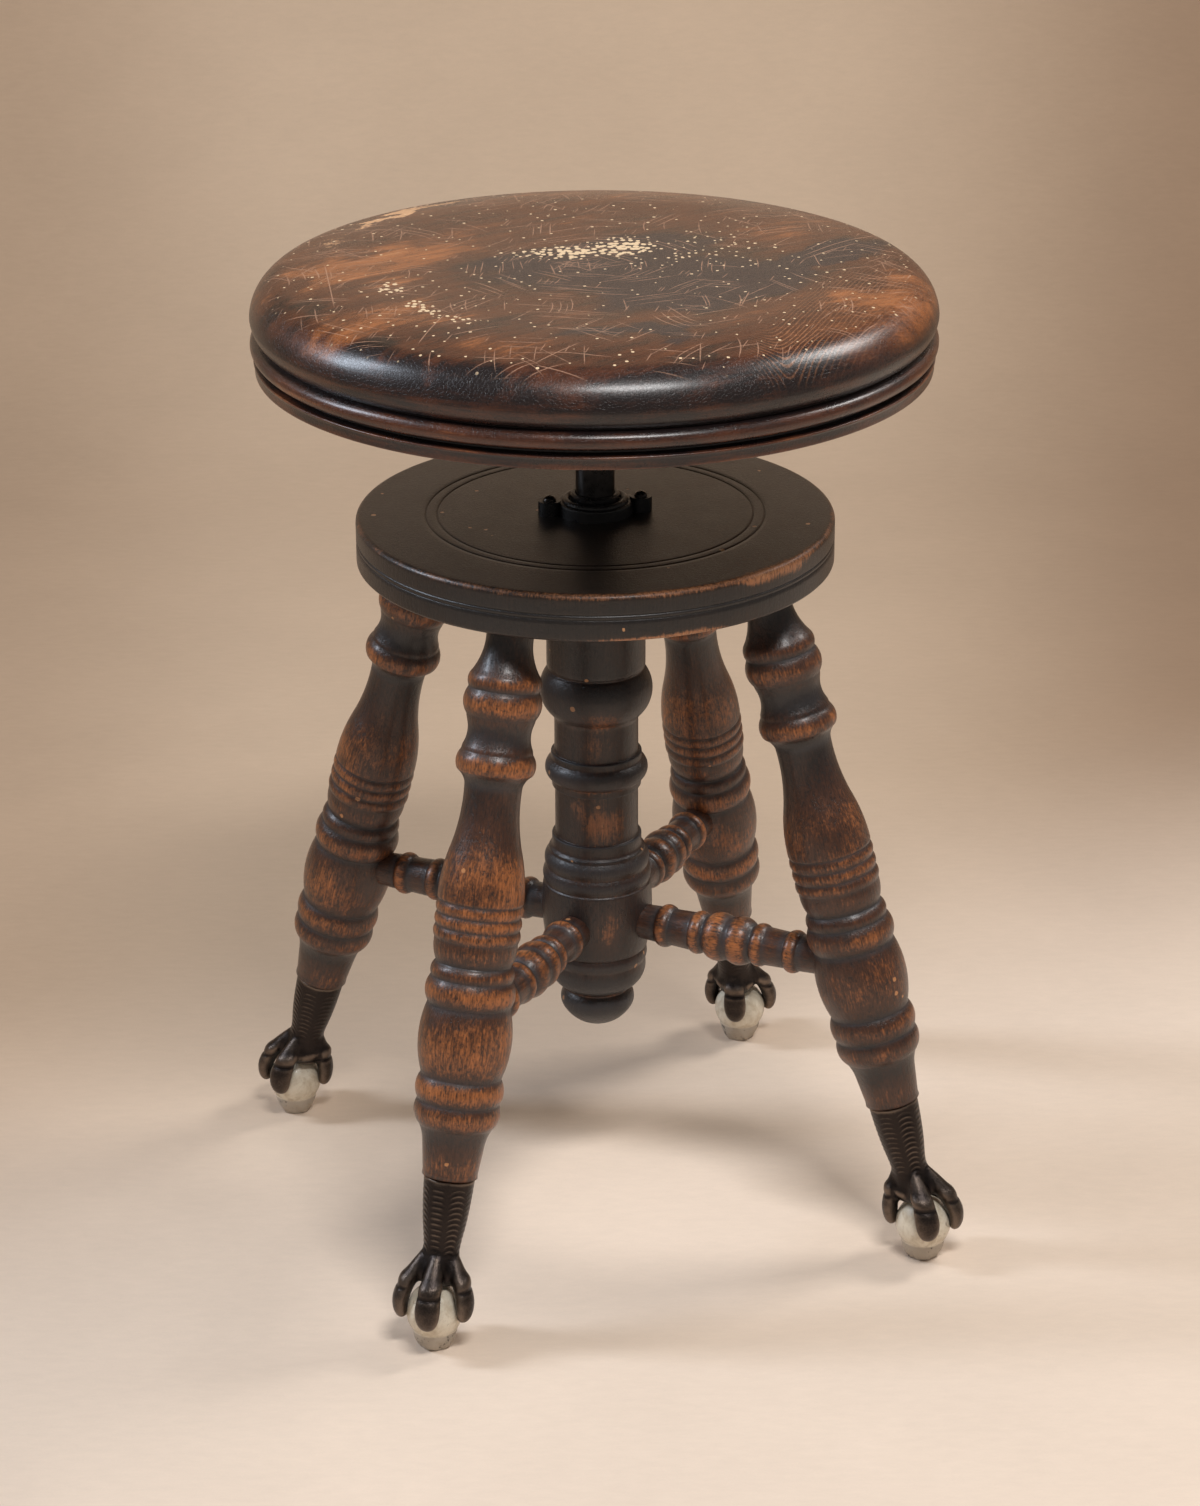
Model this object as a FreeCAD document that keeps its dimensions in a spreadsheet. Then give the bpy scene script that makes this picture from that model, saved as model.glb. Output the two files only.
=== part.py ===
import FreeCAD, Part
import math
import os
import re

import Sketcher

# A revolving piano stool: a turned wooden seat on a lifting screw, a round base with a centre
# post, four leaning turned legs joined to the post by stretchers, and claw feet on glass balls.
# Millimetres. The origin is on the floor under the middle of the post, with +Z up.

SIZES = {
    # Whole stand
    "leg_lean": 15.7,
    "leg_socket_circle": 96.95,
    "first_leg_azimuth": 225,
    "socket_clearance": 0.05,
    "cut_overshoot": 1,

    # Round base under the seat
    "base_radius": 126.5,
    "base_thickness": 25,
    "base_edge_round": 3,
    "base_bottom_chamfer": 1.2,
    "base_side_line_height": 11.5,
    "base_side_line_pitch": 2.4,
    "base_line_depth": 0.7,
    "base_line_width": 1.1,
    "base_outer_line_radius": 89.5,
    "base_inner_line_radius": 83.5,
    "leg_socket_depth": 18,

    # Glass ball with its moulded stub
    "ball_radius": 15,
    "ball_height": 20,
    "stub_radius": 12,
    "stub_middle_radius": 10.9,
    "stub_floor_radius": 8,
    "ball_clearance": 0.02,

    # Cast claw foot
    "claw_top": 94.3,
    "claw_top_radius": 13.5,
    "claw_calf_drop": 17,
    "claw_calf_radius": 12.5,
    "claw_shin_drop": 35,
    "claw_shin_radius": 9.8,
    "claw_ankle_drop": 41.5,
    "claw_ankle_radius": 9.4,
    "claw_palm_drop": 53,
    "claw_palm_radius": 12.2,
    "claw_skirt_drop": 61,
    "claw_skirt_radius": 13.4,
    "talon_side_angle": 75,
    "talon_twist": 15,
    "talon_root_reach": 5,
    "talon_root_height": 52,
    "talon_back_reach": 11,
    "talon_back_height": 43,
    "talon_arch_reach": 15.5,
    "talon_arch_height": 36,
    "talon_knuckle_reach": 18.4,
    "talon_knuckle_height": 29,
    "talon_finger_reach": 18,
    "talon_finger_height": 23,
    "talon_nail_reach": 16.4,
    "talon_nail_height": 17.5,
    "talon_root_radius": 4.4,
    "talon_back_radius": 4.6,
    "talon_arch_radius": 4.2,
    "talon_knuckle_radius": 4.6,
    "talon_finger_radius": 3.9,
    "talon_nail_radius": 2.3,
    "talon_tip_drop": 2.4,
    "talon_tip_tuck": 0.72,
    "talon_tip_radius": 0.7,

    # Screw cast into each claw, going up into the leg
    "foot_screw_radius": 3.5,
    "foot_screw_in_claw": 26,
    "foot_screw_in_leg": 32,
    "foot_screw_point": 7,

    # Turned leg, from its foot upwards along its own axis
    "leg_rim_radius": 14.7,
    "leg_rim_length": 2,
    "leg_ankle_radius": 14.5,
    "leg_cuff_length": 14.7,
    "leg_cuff_radius": 16.3,
    "leg_flare_length": 10,
    "leg_flare_waist": 17.2,
    "leg_flare_radius": 19.2,
    "leg_low_ring_length": 13.4,
    "leg_low_ring_crown": 22.6,
    "leg_low_ring_groove": 21.4,
    "leg_high_ring_length": 13.7,
    "leg_high_ring_crown": 23.2,
    "leg_high_ring_groove": 21,
    "leg_barrel_length": 38,
    "leg_barrel_crown": 24.5,
    "leg_barrel_groove": 21.6,
    "leg_collar_length": 14.1,
    "leg_collar_crown": 23.7,
    "leg_collar_groove": 21.3,
    "leg_collar_ring_length": 7.8,
    "leg_collar_ring_crown": 21.9,
    "leg_collar_ring_groove": 19.6,
    "leg_band_length": 12.4,
    "leg_band_crown": 21.6,
    "leg_reed_groove": 21.7,
    "leg_reed_length": 6.7,
    "leg_reed_crown": 22.8,
    "leg_vase_edge_length": 1,
    "leg_vase_radius": 22.5,
    "leg_vase_belly_length": 26.5,
    "leg_vase_belly_crown": 21.55,
    "leg_vase_shoulder": 18.6,
    "leg_vase_neck_length": 33.8,
    "leg_vase_neck_waist": 15.4,
    "leg_vase_neck": 15,
    "leg_ring_flare_length": 6.7,
    "leg_ring_flare_waist": 16.4,
    "leg_ring_edge": 19.7,
    "leg_ring_length": 10.5,
    "leg_ring_crown": 20.8,
    "leg_ring_top": 18.6,
    "leg_ring_lip_length": 2,
    "leg_ring_lip": 18.4,
    "leg_cove_length": 14.5,
    "leg_cove_waist": 16.4,
    "leg_cove_top": 17.6,
    "leg_fillet_length": 2,
    "leg_fillet_radius": 17.9,
    "leg_torus_length": 14.2,
    "leg_torus_crown": 20.4,
    "leg_torus_groove": 18.2,
    "leg_top_bead_length": 8.6,
    "leg_top_bead_crown": 19.2,
    "leg_top_bead_edge": 17.3,
    "leg_trumpet_length": 15.7,
    "leg_trumpet_waist": 13.7,
    "leg_neck_radius": 12.2,
    "leg_neck_length": 14.05,

    # Turned centre post, from its top tenon downwards
    "post_tenon_radius": 20,
    "post_tenon_length": 15,
    "post_drum_radius": 26.6,
    "post_drum_length": 61.5,
    "post_groove_length": 2,
    "post_groove_waist": 25.8,
    "post_bulb_length": 26,
    "post_bulb_crown": 30.4,
    "post_bulb_foot": 23.5,
    "post_neck_chamfer": 2,
    "post_neck_radius": 22.7,
    "post_neck_length": 19.6,
    "post_fillet_radius": 24.6,
    "post_fillet_length": 3.9,
    "post_bead_length": 12,
    "post_bead_crown": 27.9,
    "post_low_fillet_radius": 24.2,
    "post_low_fillet_length": 4,
    "post_shaft_radius": 22.6,
    "post_collar_radius": 24.4,
    "post_collar_length": 5.5,
    "post_cove_length": 2.5,
    "post_cove_waist": 24.8,
    "post_edge_radius": 26.2,
    "post_edge_length": 1.5,
    "post_high_ring_length": 9.2,
    "post_high_ring_crown": 28.6,
    "post_high_ring_groove": 27.6,
    "post_ring_length": 9.1,
    "post_ring_crown": 29.6,
    "post_ring_groove": 28.4,
    "post_barrel_chamfer": 0.6,
    "post_barrel_edge": 29.4,
    "post_barrel_rise": 20.6,
    "post_barrel_length": 38.6,
    "post_barrel_crown": 30.1,
    "post_barrel_foot": 27.5,
    "post_low_groove_length": 0.6,
    "post_low_groove": 26.2,
    "post_low_ring_length": 7.8,
    "post_low_ring_crown": 27.5,
    "post_low_ring_groove": 26.3,
    "post_cup_length": 16.7,
    "post_cup_crown": 26,
    "post_cup_foot": 18.2,
    "post_button_neck_length": 1.5,
    "post_button_neck": 17.5,
    "post_button_side_length": 11,
    "post_button_crown": 20.3,
    "post_button_edge": 19,
    "post_button_end_length": 11,
    "post_button_end_crown": 14.6,
    "post_bore_radius": 13.6,
    "post_bore_spare": 8,

    # Turned stretcher between the post and a leg
    "stretcher_rise": 6.4,
    "stretcher_socket_in_post": 12,
    "stretcher_socket_in_leg": 12,
    "stretcher_end_radius": 9.6,
    "stretcher_taper_end": 10,
    "stretcher_taper_start": 10.5,
    "stretcher_plain_length": 8,
    "stretcher_outer_bead_offset": 38,
    "stretcher_outer_bead_length": 8,
    "stretcher_inner_bead_offset": 18,
    "stretcher_inner_bead_length": 7.6,
    "stretcher_bead_crown": 11.9,
    "stretcher_groove_radius": 9.9,
    "stretcher_groove_length": 1.2,
    "stretcher_barrel_crown": 13.4,
    "stretcher_barrel_end": 10.6,
    "stretcher_fillet_radius": 12,
    "stretcher_fillet_length": 2.4,

    # Cast nut and its flange on top of the base
    "nut_depth": 40.5,
    "nut_barrel_radius": 14.5,
    "flange_radius": 20,
    "flange_thickness": 6.5,
    "flange_edge": 1.2,
    "flange_ring_radius": 15.6,
    "flange_ring_width": 2,
    "flange_ring_height": 2,
    "hub_foot_radius": 13,
    "hub_top_radius": 12,
    "hub_height": 11,
    "hub_mouth_clearance": 0.45,
    "hub_mouth_depth": 5.5,
    "lug_radius": 6,
    "lug_circle": 24.3,
    "lug_height": 7.5,
    "lug_azimuth": 169,
    "flange_screw_turn": 40,
    "flange_screw_turn_step": 75,

    # Lifting screw and its thread
    "thread_radius": 10.3,
    "thread_core_radius": 8.1,
    "thread_pitch": 6,
    "thread_crest_half": 0.8,
    "thread_root_half": 1.9,
    "thread_clearance": 0.35,
    "lift_turns": 18,
    "shank_length": 38.5,
    "screw_tenon_radius": 8,
    "screw_head_chamfer": 2,
    "spigot_radius": 5,
    "stop_gap": 0.5,

    # Loose stop washer at the screw's lower end and its retaining screw
    "washer_radius": 12.4,
    "washer_thickness": 3,
    "washer_play": 0.3,
    "retainer_radius": 7.5,
    "retainer_thickness": 3,
    "retainer_shank_radius": 2,
    "retainer_shank_length": 12,
    "retainer_slot_width": 1.6,

    # Turned seat, from its underside upwards
    "seat_chamfer_start": 172,
    "seat_chamfer": 1,
    "seat_band_radius": 176,
    "seat_band_height": 5,
    "seat_lip_radius": 176.7,
    "seat_lip_slope": 0.5,
    "seat_lip_height": 1,
    "seat_lip_groove_radius": 171.5,
    "seat_lip_groove_slope": 0.8,
    "seat_lip_groove_height": 1.7,
    "seat_bead_edge": 174,
    "seat_bead_slope": 0.5,
    "seat_bead_height": 9,
    "seat_bead_crown": 178.2,
    "seat_bead_groove_radius": 172,
    "seat_bead_groove_height": 0.7,
    "seat_nose_slope": 0.6,
    "seat_nose_edge": 173.5,
    "seat_nose_under_height": 8.7,
    "seat_nose_under_crown": 176.9,
    "seat_nose_radius": 178,
    "seat_nose_over_height": 19.5,
    "seat_nose_over_crown": 174.8,
    "seat_shoulder_radius": 158,
    "seat_fall_height": 3.5,
    "seat_fall_crown": 146.9,
    "seat_flat_radius": 120,

    # Cast spider that carries the seat on the screw
    "spider_height": 32.5,
    "spider_hub_radius": 15,
    "spider_plate_radius": 26,
    "spider_plate_thickness": 5,
    "spider_cone_height": 12,
    "arm_reach": 108,
    "arm_width": 18,
    "arm_rib_width": 5,
    "arm_rib_depth": 6,
    "arm_rib_reach": 48,
    "arm_azimuth": 0,
    "arm_inner_screw_circle": 62,
    "arm_outer_screw_circle": 106,
    "arm_screw_turn_step": 25,
    "arm_screw_ring_turn": 50,

    # Round-headed wood screws
    "wood_screw_radius": 2.1,
    "wood_screw_length": 18,
    "wood_screw_point": 4,
    "wood_screw_head_radius": 3.5,
    "wood_screw_head_rim": 0.6,
    "wood_screw_head_height": 2.5,
    "wood_screw_head_shoulder_radius": 2.63,
    "wood_screw_head_shoulder_height": 1.78,
    "wood_screw_slot_width": 0.8,
    "wood_screw_slot_depth": 0.9,
    "screw_hole_clearance": 0.1,
}

LEG_COUNT = 4
FRONT_LEFT, FRONT_RIGHT, BACK_RIGHT, BACK_LEFT = range(LEG_COUNT)
LEG_NAMES = {
    FRONT_LEFT: "front_left",
    FRONT_RIGHT: "front_right",
    BACK_RIGHT: "back_right",
    BACK_LEFT: "back_left",
}

# The turning of a leg from its foot upwards: each stretch is straight, or an arc through a crown
LEG_TURNING = [
    ("line", "leg_ankle_radius", "leg_rim_length"),
    ("line", "leg_cuff_radius", "leg_cuff_length"),
    ("arc", "leg_flare_radius", "leg_flare_length", "leg_flare_waist"),
    ("arc", "leg_low_ring_groove", "leg_low_ring_length", "leg_low_ring_crown"),
    ("arc", "leg_high_ring_groove", "leg_high_ring_length", "leg_high_ring_crown"),
    ("arc", "leg_barrel_groove", "leg_barrel_length", "leg_barrel_crown"),
    ("arc", "leg_collar_groove", "leg_collar_length", "leg_collar_crown"),
    ("arc", "leg_collar_ring_groove", "leg_collar_ring_length", "leg_collar_ring_crown"),
    ("arc", "leg_reed_groove", "leg_band_length", "leg_band_crown"),
    ("arc", "leg_reed_groove", "leg_reed_length", "leg_reed_crown"),
    ("arc", "leg_reed_groove", "leg_reed_length", "leg_reed_crown"),
    ("arc", "leg_reed_groove", "leg_reed_length", "leg_reed_crown"),
    ("line", "leg_vase_radius", "leg_vase_edge_length"),
    ("arc", "leg_vase_shoulder", "leg_vase_belly_length", "leg_vase_belly_crown"),
    ("arc", "leg_vase_neck", "leg_vase_neck_length", "leg_vase_neck_waist"),
    ("arc", "leg_ring_edge", "leg_ring_flare_length", "leg_ring_flare_waist"),
    ("arc", "leg_ring_top", "leg_ring_length", "leg_ring_crown"),
    ("line", "leg_ring_lip", "leg_ring_lip_length"),
    ("arc", "leg_cove_top", "leg_cove_length", "leg_cove_waist"),
    ("line", "leg_fillet_radius", "leg_fillet_length"),
    ("arc", "leg_torus_groove", "leg_torus_length", "leg_torus_crown"),
    ("arc", "leg_top_bead_edge", "leg_top_bead_length", "leg_top_bead_crown"),
    ("arc", "leg_neck_radius", "leg_trumpet_length", "leg_trumpet_waist"),
    ("line", "leg_neck_radius", "leg_neck_length"),
]

# Sizes that follow from the driving ones, each written once and used by name
FOLLOWING = {
    "leg_axis_length": "claw_top + " + " + ".join(stretch[2] for stretch in LEG_TURNING),
    "base_underside": "(leg_axis_length) * cos(leg_lean)",
    "base_top_height": "(base_underside) + base_thickness",
    "leg_stance": "leg_socket_circle + (base_underside) * tan(leg_lean)",
    "ball_circle": "(leg_stance) - ball_height * tan(leg_lean)",
    "leg_barrel_middle": "claw_top + " + " + ".join(stretch[2] for stretch in LEG_TURNING[:5])
                         + " + leg_barrel_length / 2",
    "stretcher_on_leg": "(leg_barrel_middle) + stretcher_rise",
    "stretcher_height": "(stretcher_on_leg) * cos(leg_lean)",
    "stretcher_leg_circle": "(leg_stance) - (stretcher_height) * tan(leg_lean)",
    "stretcher_inner_end": "post_barrel_crown - stretcher_socket_in_post",
    "leg_socket_floor": "leg_barrel_crown - stretcher_socket_in_leg",
    "stretcher_outer_end": "(stretcher_leg_circle) - (leg_socket_floor)",
    "stretcher_middle": "(post_barrel_crown + (stretcher_leg_circle) - leg_barrel_crown) / 2",
    "nut_bottom": "(base_top_height) - nut_depth",
    "hub_top": "(base_top_height) + hub_height",
    "spider_bottom": "(hub_top) + shank_length",
    "seat_underside": "(spider_bottom) + spider_height",
    "lift_travel": "lift_turns * thread_pitch",
    "core_bottom": "(nut_bottom) - (lift_travel) - stop_gap",
    "washer_underside": "(core_bottom) - washer_play - washer_thickness",
    "retainer_top": "(washer_underside) - washer_play",
    "post_bore_floor": "(retainer_top) - retainer_thickness - post_bore_spare",
    "thread_start": "(nut_bottom) - (lift_turns - 1) * thread_pitch",
    "hub_mouth_floor": "hub_height - hub_mouth_depth",
    "hub_mouth_radius": "thread_radius + hub_mouth_clearance",
    "nut_bore_radius": "thread_core_radius + thread_clearance",
}


def expanded(text):
    """An expression with every following size replaced by what it follows from."""
    while True:
        longer = re.sub(r"[a-z_]+", lambda word: FOLLOWING.get(word[0], word[0]), text)
        if longer == text:
            return text
        text = longer


def sized(text):
    """An expression of the sizes as the document's objects read it from the sheet."""
    return re.sub(r"[a-z_]+", lambda word: "Sizes." + word[0] if word[0] in SIZES else word[0],
                  expanded(text))


doc = FreeCAD.newDocument("piano_stool")
sheet = doc.addObject("Spreadsheet::Sheet", "Sizes")
for row, (alias, number) in enumerate(SIZES.items(), start=1):
    sheet.set(f"A{row}", alias.replace("_", " "))
    sheet.set(f"B{row}", str(number))
    sheet.setAlias(f"B{row}", alias)
doc.recompute()


def value(text):
    """The number that an expression of the sizes gives now."""
    return float(sheet.evalExpression(expanded(text)))


def place(thing, x="0", y="0", z="0", yaw="0", pitch="0", roll="0"):
    """Put an object at a point and turn it, both as expressions of the sizes."""
    point = f"vector({sized(x)}; {sized(y)}; {sized(z)})"
    turn = f"rotation({sized(yaw)}; {sized(pitch)}; {sized(roll)})"
    thing.setExpression("Placement", f"placement({point}; {turn})")


def origin_part(body, role):
    """One of a body's own origin planes or axes."""
    return next(part for part in body.Origin.OriginFeatures if part.Role == role)


def new_body(label):
    body = doc.addObject("PartDesign::Body", label)
    body.Label = label
    return body


class Outline:
    """Half the cross-section of a turned piece, drawn point by point in a sketch.

    Each point is held by its radius from the axis and by its height: measured from the point
    before it, or from the origin. Radii and heights are expressions of the sizes.
    """

    AXIS = -2
    LEVEL = -1
    ORIGIN = (-1, 1)

    def __init__(self, body, plane="XZ_Plane", name="Outline"):
        self.sketch = body.newObject("Sketcher::SketchObject", name)
        self.sketch.AttachmentSupport = [(origin_part(body, plane), "")]
        self.sketch.MapMode = "FlatFace"
        self.first = None
        self.last = None

    def hold(self, kind, *spots, expression=None):
        """Add a constraint, bound to an expression where it has a size."""
        flat = [number for spot in spots for number in spot]
        if expression is None:
            self.sketch.addConstraint(Sketcher.Constraint(kind, *flat))
            return
        amount = value(expression)
        index = self.sketch.addConstraint(Sketcher.Constraint(kind, *flat, amount))
        self.sketch.setExpression(f"Constraints[{index}]", sized(expression))

    def hold_radius(self, spot, radius):
        if radius == "0":
            self.hold("PointOnObject", spot, (self.AXIS,))
        else:
            self.hold("DistanceX", self.ORIGIN, spot, expression=radius)

    def hold_height(self, spot, height):
        if height == "0":
            self.hold("PointOnObject", spot, (self.LEVEL,))
        else:
            self.hold("DistanceY", self.ORIGIN, spot, expression=height)

    def add(self, shape, end):
        """Add a stretch that starts where the one before it ended."""
        index = self.sketch.addGeometry(shape)
        if self.last is None:
            self.first = (index, 1)
        else:
            self.hold("Coincident", self.last, (index, 1))
        self.last = (index, 2)
        self.at = end
        return index

    def start(self, radius, height):
        self.begin = (radius, height)
        self.at = (value(radius), value(height))
        return self

    def held_start(self):
        """Hold the very first point once the first stretch exists."""
        if self.begin:
            self.hold_radius(self.first, self.begin[0])
            self.hold_height(self.first, self.begin[1])
            self.begin = None

    def straight_to(self, end):
        vectors = [FreeCAD.Vector(x, y, 0) for x, y in (self.at, end)]
        index = self.add(Part.LineSegment(*vectors), end)
        self.held_start()
        return index

    def to(self, radius, height):
        """A straight stretch to a radius and a height above the origin."""
        self.straight_to((value(radius), value(height)))
        self.hold_radius(self.last, radius)
        self.hold_height(self.last, height)
        return self

    def step(self, radius):
        """A flat shoulder out or in to a radius."""
        index = self.straight_to((value(radius), self.at[1]))
        self.hold("Horizontal", (index,))
        self.hold_radius(self.last, radius)
        return self

    def arc_through(self, crown, end):
        """An arc through a crown point; gives the arc and the crown as spots to hold."""
        points = [FreeCAD.Vector(x, y, 0) for x, y in (self.at, crown, end)]
        # A sketch's arcs run counter-clockwise, so a clockwise one is drawn from its far end
        clockwise = (points[1] - points[0]).cross(points[2] - points[0]).z < 0
        if clockwise:
            points.reverse()
        index = self.sketch.addGeometry(Part.ArcOfCircle(*points))
        near, far = ((index, 2), (index, 1)) if clockwise else ((index, 1), (index, 2))
        if self.last is None:
            self.first = near
        else:
            self.hold("Coincident", self.last, near)
        self.last = far
        self.at = end
        mark = self.sketch.addGeometry(Part.Point(points[1]), True)
        self.hold("PointOnObject", (mark, 1), (index,))
        self.held_start()
        return (mark, 1)

    def bulge(self, crown_radius, crown_height, radius, height):
        """An arc through a crown, both points held from the origin."""
        crown = (value(crown_radius), value(crown_height))
        mark = self.arc_through(crown, (value(radius), value(height)))
        self.hold_radius(mark, crown_radius)
        self.hold_height(mark, crown_height)
        self.hold_radius(self.last, radius)
        self.hold_height(self.last, height)
        return self

    def rise(self, spot, goal, length, up):
        order = (spot, goal) if up else (goal, spot)
        self.hold("DistanceY", *order, expression=length)

    def turning(self, stretches, up=True, free=None):
        """A chain of straight stretches, arcs and shoulders, each as long as its size.

        The stretch whose radius is named as free has no length of its own: its end is held
        by whatever follows it, and its length here only says where to draw it first.
        """
        sign = 1 if up else -1
        for kind, radius, *rest in stretches:
            if kind == "step":
                self.step(radius)
                continue
            length = rest[0]
            before = self.last
            x, y = value(radius), self.at[1] + sign * value(length)
            if kind == "line":
                self.straight_to((x, y))
            else:
                mark = self.arc_through((value(rest[1]), (self.at[1] + y) / 2), (x, y))
                self.hold_radius(mark, rest[1])
                self.rise(before, mark, f"({length}) / 2", up)
            self.hold_radius(self.last, radius)
            if radius != free:
                self.rise(before, self.last, length, up)
        return self

    def close(self):
        """Join the last point to the first one."""
        index = self.sketch.addGeometry(Part.LineSegment(
            FreeCAD.Vector(*self.at, 0), self.sketch.getPoint(*self.first)))
        self.hold("Coincident", self.last, (index, 1))
        self.hold("Coincident", (index, 2), self.first)
        return self

    def revolve(self, body):
        turned = body.newObject("PartDesign::Revolution", "Turning")
        turned.Profile = self.sketch
        turned.ReferenceAxis = (self.sketch, ["V_Axis"])
        turned.Angle = 360
        self.sketch.Visibility = False
        return turned


def rod(body, kind, name, radius, length, **where):
    """Add or take away a round bar, from its own start along its own axis."""
    bar = body.newObject(f"PartDesign::{kind}Cylinder", name)
    bar.setExpression("Radius", sized(radius))
    bar.setExpression("Height", sized(length))
    place(bar, **where)
    return bar


def block(body, kind, name, size, **where):
    """Add or take away a box from its own corner."""
    box = body.newObject(f"PartDesign::{kind}Box", name)
    for edge, text in zip(("Length", "Width", "Height"), size):
        box.setExpression(edge, sized(text))
    place(box, **where)
    return box


def repeat(body, features, count):
    """Repeat features evenly about the body's own vertical axis."""
    pattern = body.newObject("PartDesign::PolarPattern", "Round")
    pattern.Originals = features
    pattern.Axis = (origin_part(body, "Z_Axis"), [""])
    pattern.Angle = 360
    pattern.Occurrences = count
    body.Tip = pattern
    return pattern


def leg_azimuth(leg):
    return f"(first_leg_azimuth + {leg * 360 // LEG_COUNT})"


def on_leg(thing, leg):
    """Put an object whose own axis is a leg's axis at that leg."""
    turn = leg_azimuth(leg)
    place(thing, x=f"(leg_stance) * cos({turn})", y=f"(leg_stance) * sin({turn})",
          yaw=turn, pitch="-leg_lean")


def make_base_top():
    body = new_body("base_top")
    post_socket = "post_tenon_radius + socket_clearance"
    nut_hole = "nut_barrel_radius + socket_clearance"
    outline = Outline(body)
    outline.start(post_socket, "0")
    outline.to("base_radius - base_bottom_chamfer", "0")
    outline.to("base_radius", "base_bottom_chamfer")
    for line in range(2):
        height = f"base_side_line_height + {line} * base_side_line_pitch"
        outline.to("base_radius", f"{height} - base_line_width / 2")
        outline.to("base_radius - base_line_depth", height)
        outline.to("base_radius", f"{height} + base_line_width / 2")
    outline.to("base_radius", "base_thickness - base_edge_round")
    outline.bulge("base_radius - base_edge_round * (1 - cos(45))",
                  "base_thickness - base_edge_round * (1 - sin(45))",
                  "base_radius - base_edge_round", "base_thickness")
    for radius in ("base_outer_line_radius", "base_inner_line_radius"):
        outline.to(f"{radius} + base_line_width / 2", "base_thickness")
        outline.to(radius, "base_thickness - base_line_depth")
        outline.to(f"{radius} - base_line_width / 2", "base_thickness")
    outline.to(nut_hole, "base_thickness")
    outline.to(nut_hole, "post_tenon_length")
    outline.to(post_socket, "post_tenon_length")
    outline.close()
    outline.revolve(body)
    doc.recompute()
    # Each leg's socket leans with the leg and starts well below the underside
    reach = "leg_neck_length"
    socket = rod(body, "Subtractive", "LegSocket", "leg_neck_radius + socket_clearance",
                 f"{reach} + leg_socket_depth",
                 x=f"leg_socket_circle + {reach} * sin(leg_lean)",
                 z=f"-({reach}) * cos(leg_lean)", pitch="-leg_lean")
    repeat(body, [socket], LEG_COUNT)
    doc.recompute()
    pilot_depth = "wood_screw_length - lug_height"
    screw_hole = rod(body, "Subtractive", "ScrewHole", "wood_screw_radius + socket_clearance",
                     f"{pilot_depth} + cut_overshoot",
                     x="lug_circle * cos(lug_azimuth - first_leg_azimuth)",
                     y="lug_circle * sin(lug_azimuth - first_leg_azimuth)",
                     z=f"base_thickness - ({pilot_depth})")
    repeat(body, [screw_hole], 2)
    place(body, z="base_underside", yaw="first_leg_azimuth")


def make_centre_post():
    body = new_body("centre_post")
    outline = Outline(body)
    outline.start("post_tenon_radius", "(base_underside) + post_tenon_length")
    outline.to("post_tenon_radius", "base_underside")
    # The free plain shaft takes up what is left between the upper and the lower turnings
    lower = [
        ("step", "post_collar_radius"),
        ("line", "post_collar_radius", "post_collar_length"),
        ("arc", "post_edge_radius", "post_cove_length", "post_cove_waist"),
        ("line", "post_edge_radius", "post_edge_length"),
        ("arc", "post_high_ring_groove", "post_high_ring_length", "post_high_ring_crown"),
        ("arc", "post_ring_groove", "post_ring_length", "post_ring_crown"),
        ("line", "post_barrel_edge", "post_barrel_chamfer"),
    ]
    upper = [
        ("step", "post_drum_radius"),
        ("line", "post_drum_radius", "post_drum_length"),
        ("arc", "post_drum_radius", "post_groove_length", "post_groove_waist"),
        ("arc", "post_bulb_foot", "post_bulb_length", "post_bulb_crown"),
        ("line", "post_neck_radius", "post_neck_chamfer"),
        ("line", "post_neck_radius", "post_neck_length"),
        ("step", "post_fillet_radius"),
        ("line", "post_fillet_radius", "post_fillet_length"),
        ("arc", "post_low_fillet_radius", "post_bead_length", "post_bead_crown"),
        ("line", "post_low_fillet_radius", "post_low_fillet_length"),
        ("step", "post_shaft_radius"),
    ]
    barrel_top = "(stretcher_height) + post_barrel_rise"
    upper_length = " + ".join(stretch[2] for stretch in upper if stretch[0] != "step")
    lower_length = " + ".join(stretch[2] for stretch in lower if stretch[0] != "step")
    shaft_length = f"(base_underside) - ({barrel_top}) - ({upper_length}) - ({lower_length})"
    outline.turning(upper, up=False)
    outline.turning([("line", "post_shaft_radius", shaft_length)], up=False,
                    free="post_shaft_radius")
    outline.turning(lower, up=False)
    outline.hold_height(outline.last, barrel_top)
    outline.turning([
        ("arc", "post_barrel_foot", "post_barrel_length", "post_barrel_crown"),
        ("line", "post_low_groove", "post_low_groove_length"),
        ("arc", "post_low_ring_groove", "post_low_ring_length", "post_low_ring_crown"),
        ("arc", "post_cup_foot", "post_cup_length", "post_cup_crown"),
        ("line", "post_button_neck", "post_button_neck_length"),
        ("arc", "post_button_edge", "post_button_side_length", "post_button_crown"),
        ("arc", "0", "post_button_end_length", "post_button_end_crown"),
    ], up=False)
    nut_hole = "nut_barrel_radius + socket_clearance"
    outline.to("0", "post_bore_floor")
    outline.to("post_bore_radius", "post_bore_floor")
    outline.to("post_bore_radius", "nut_bottom")
    outline.to(nut_hole, "nut_bottom")
    outline.to(nut_hole, "(base_underside) + post_tenon_length")
    outline.close()
    outline.revolve(body)
    doc.recompute()
    mortise = rod(body, "Subtractive", "Mortise", "stretcher_end_radius + socket_clearance",
                  "2 * stretcher_socket_in_post",
                  x="stretcher_inner_end", z="stretcher_height", pitch="90")
    repeat(body, [mortise], LEG_COUNT)
    place(body, yaw="first_leg_azimuth")


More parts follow.
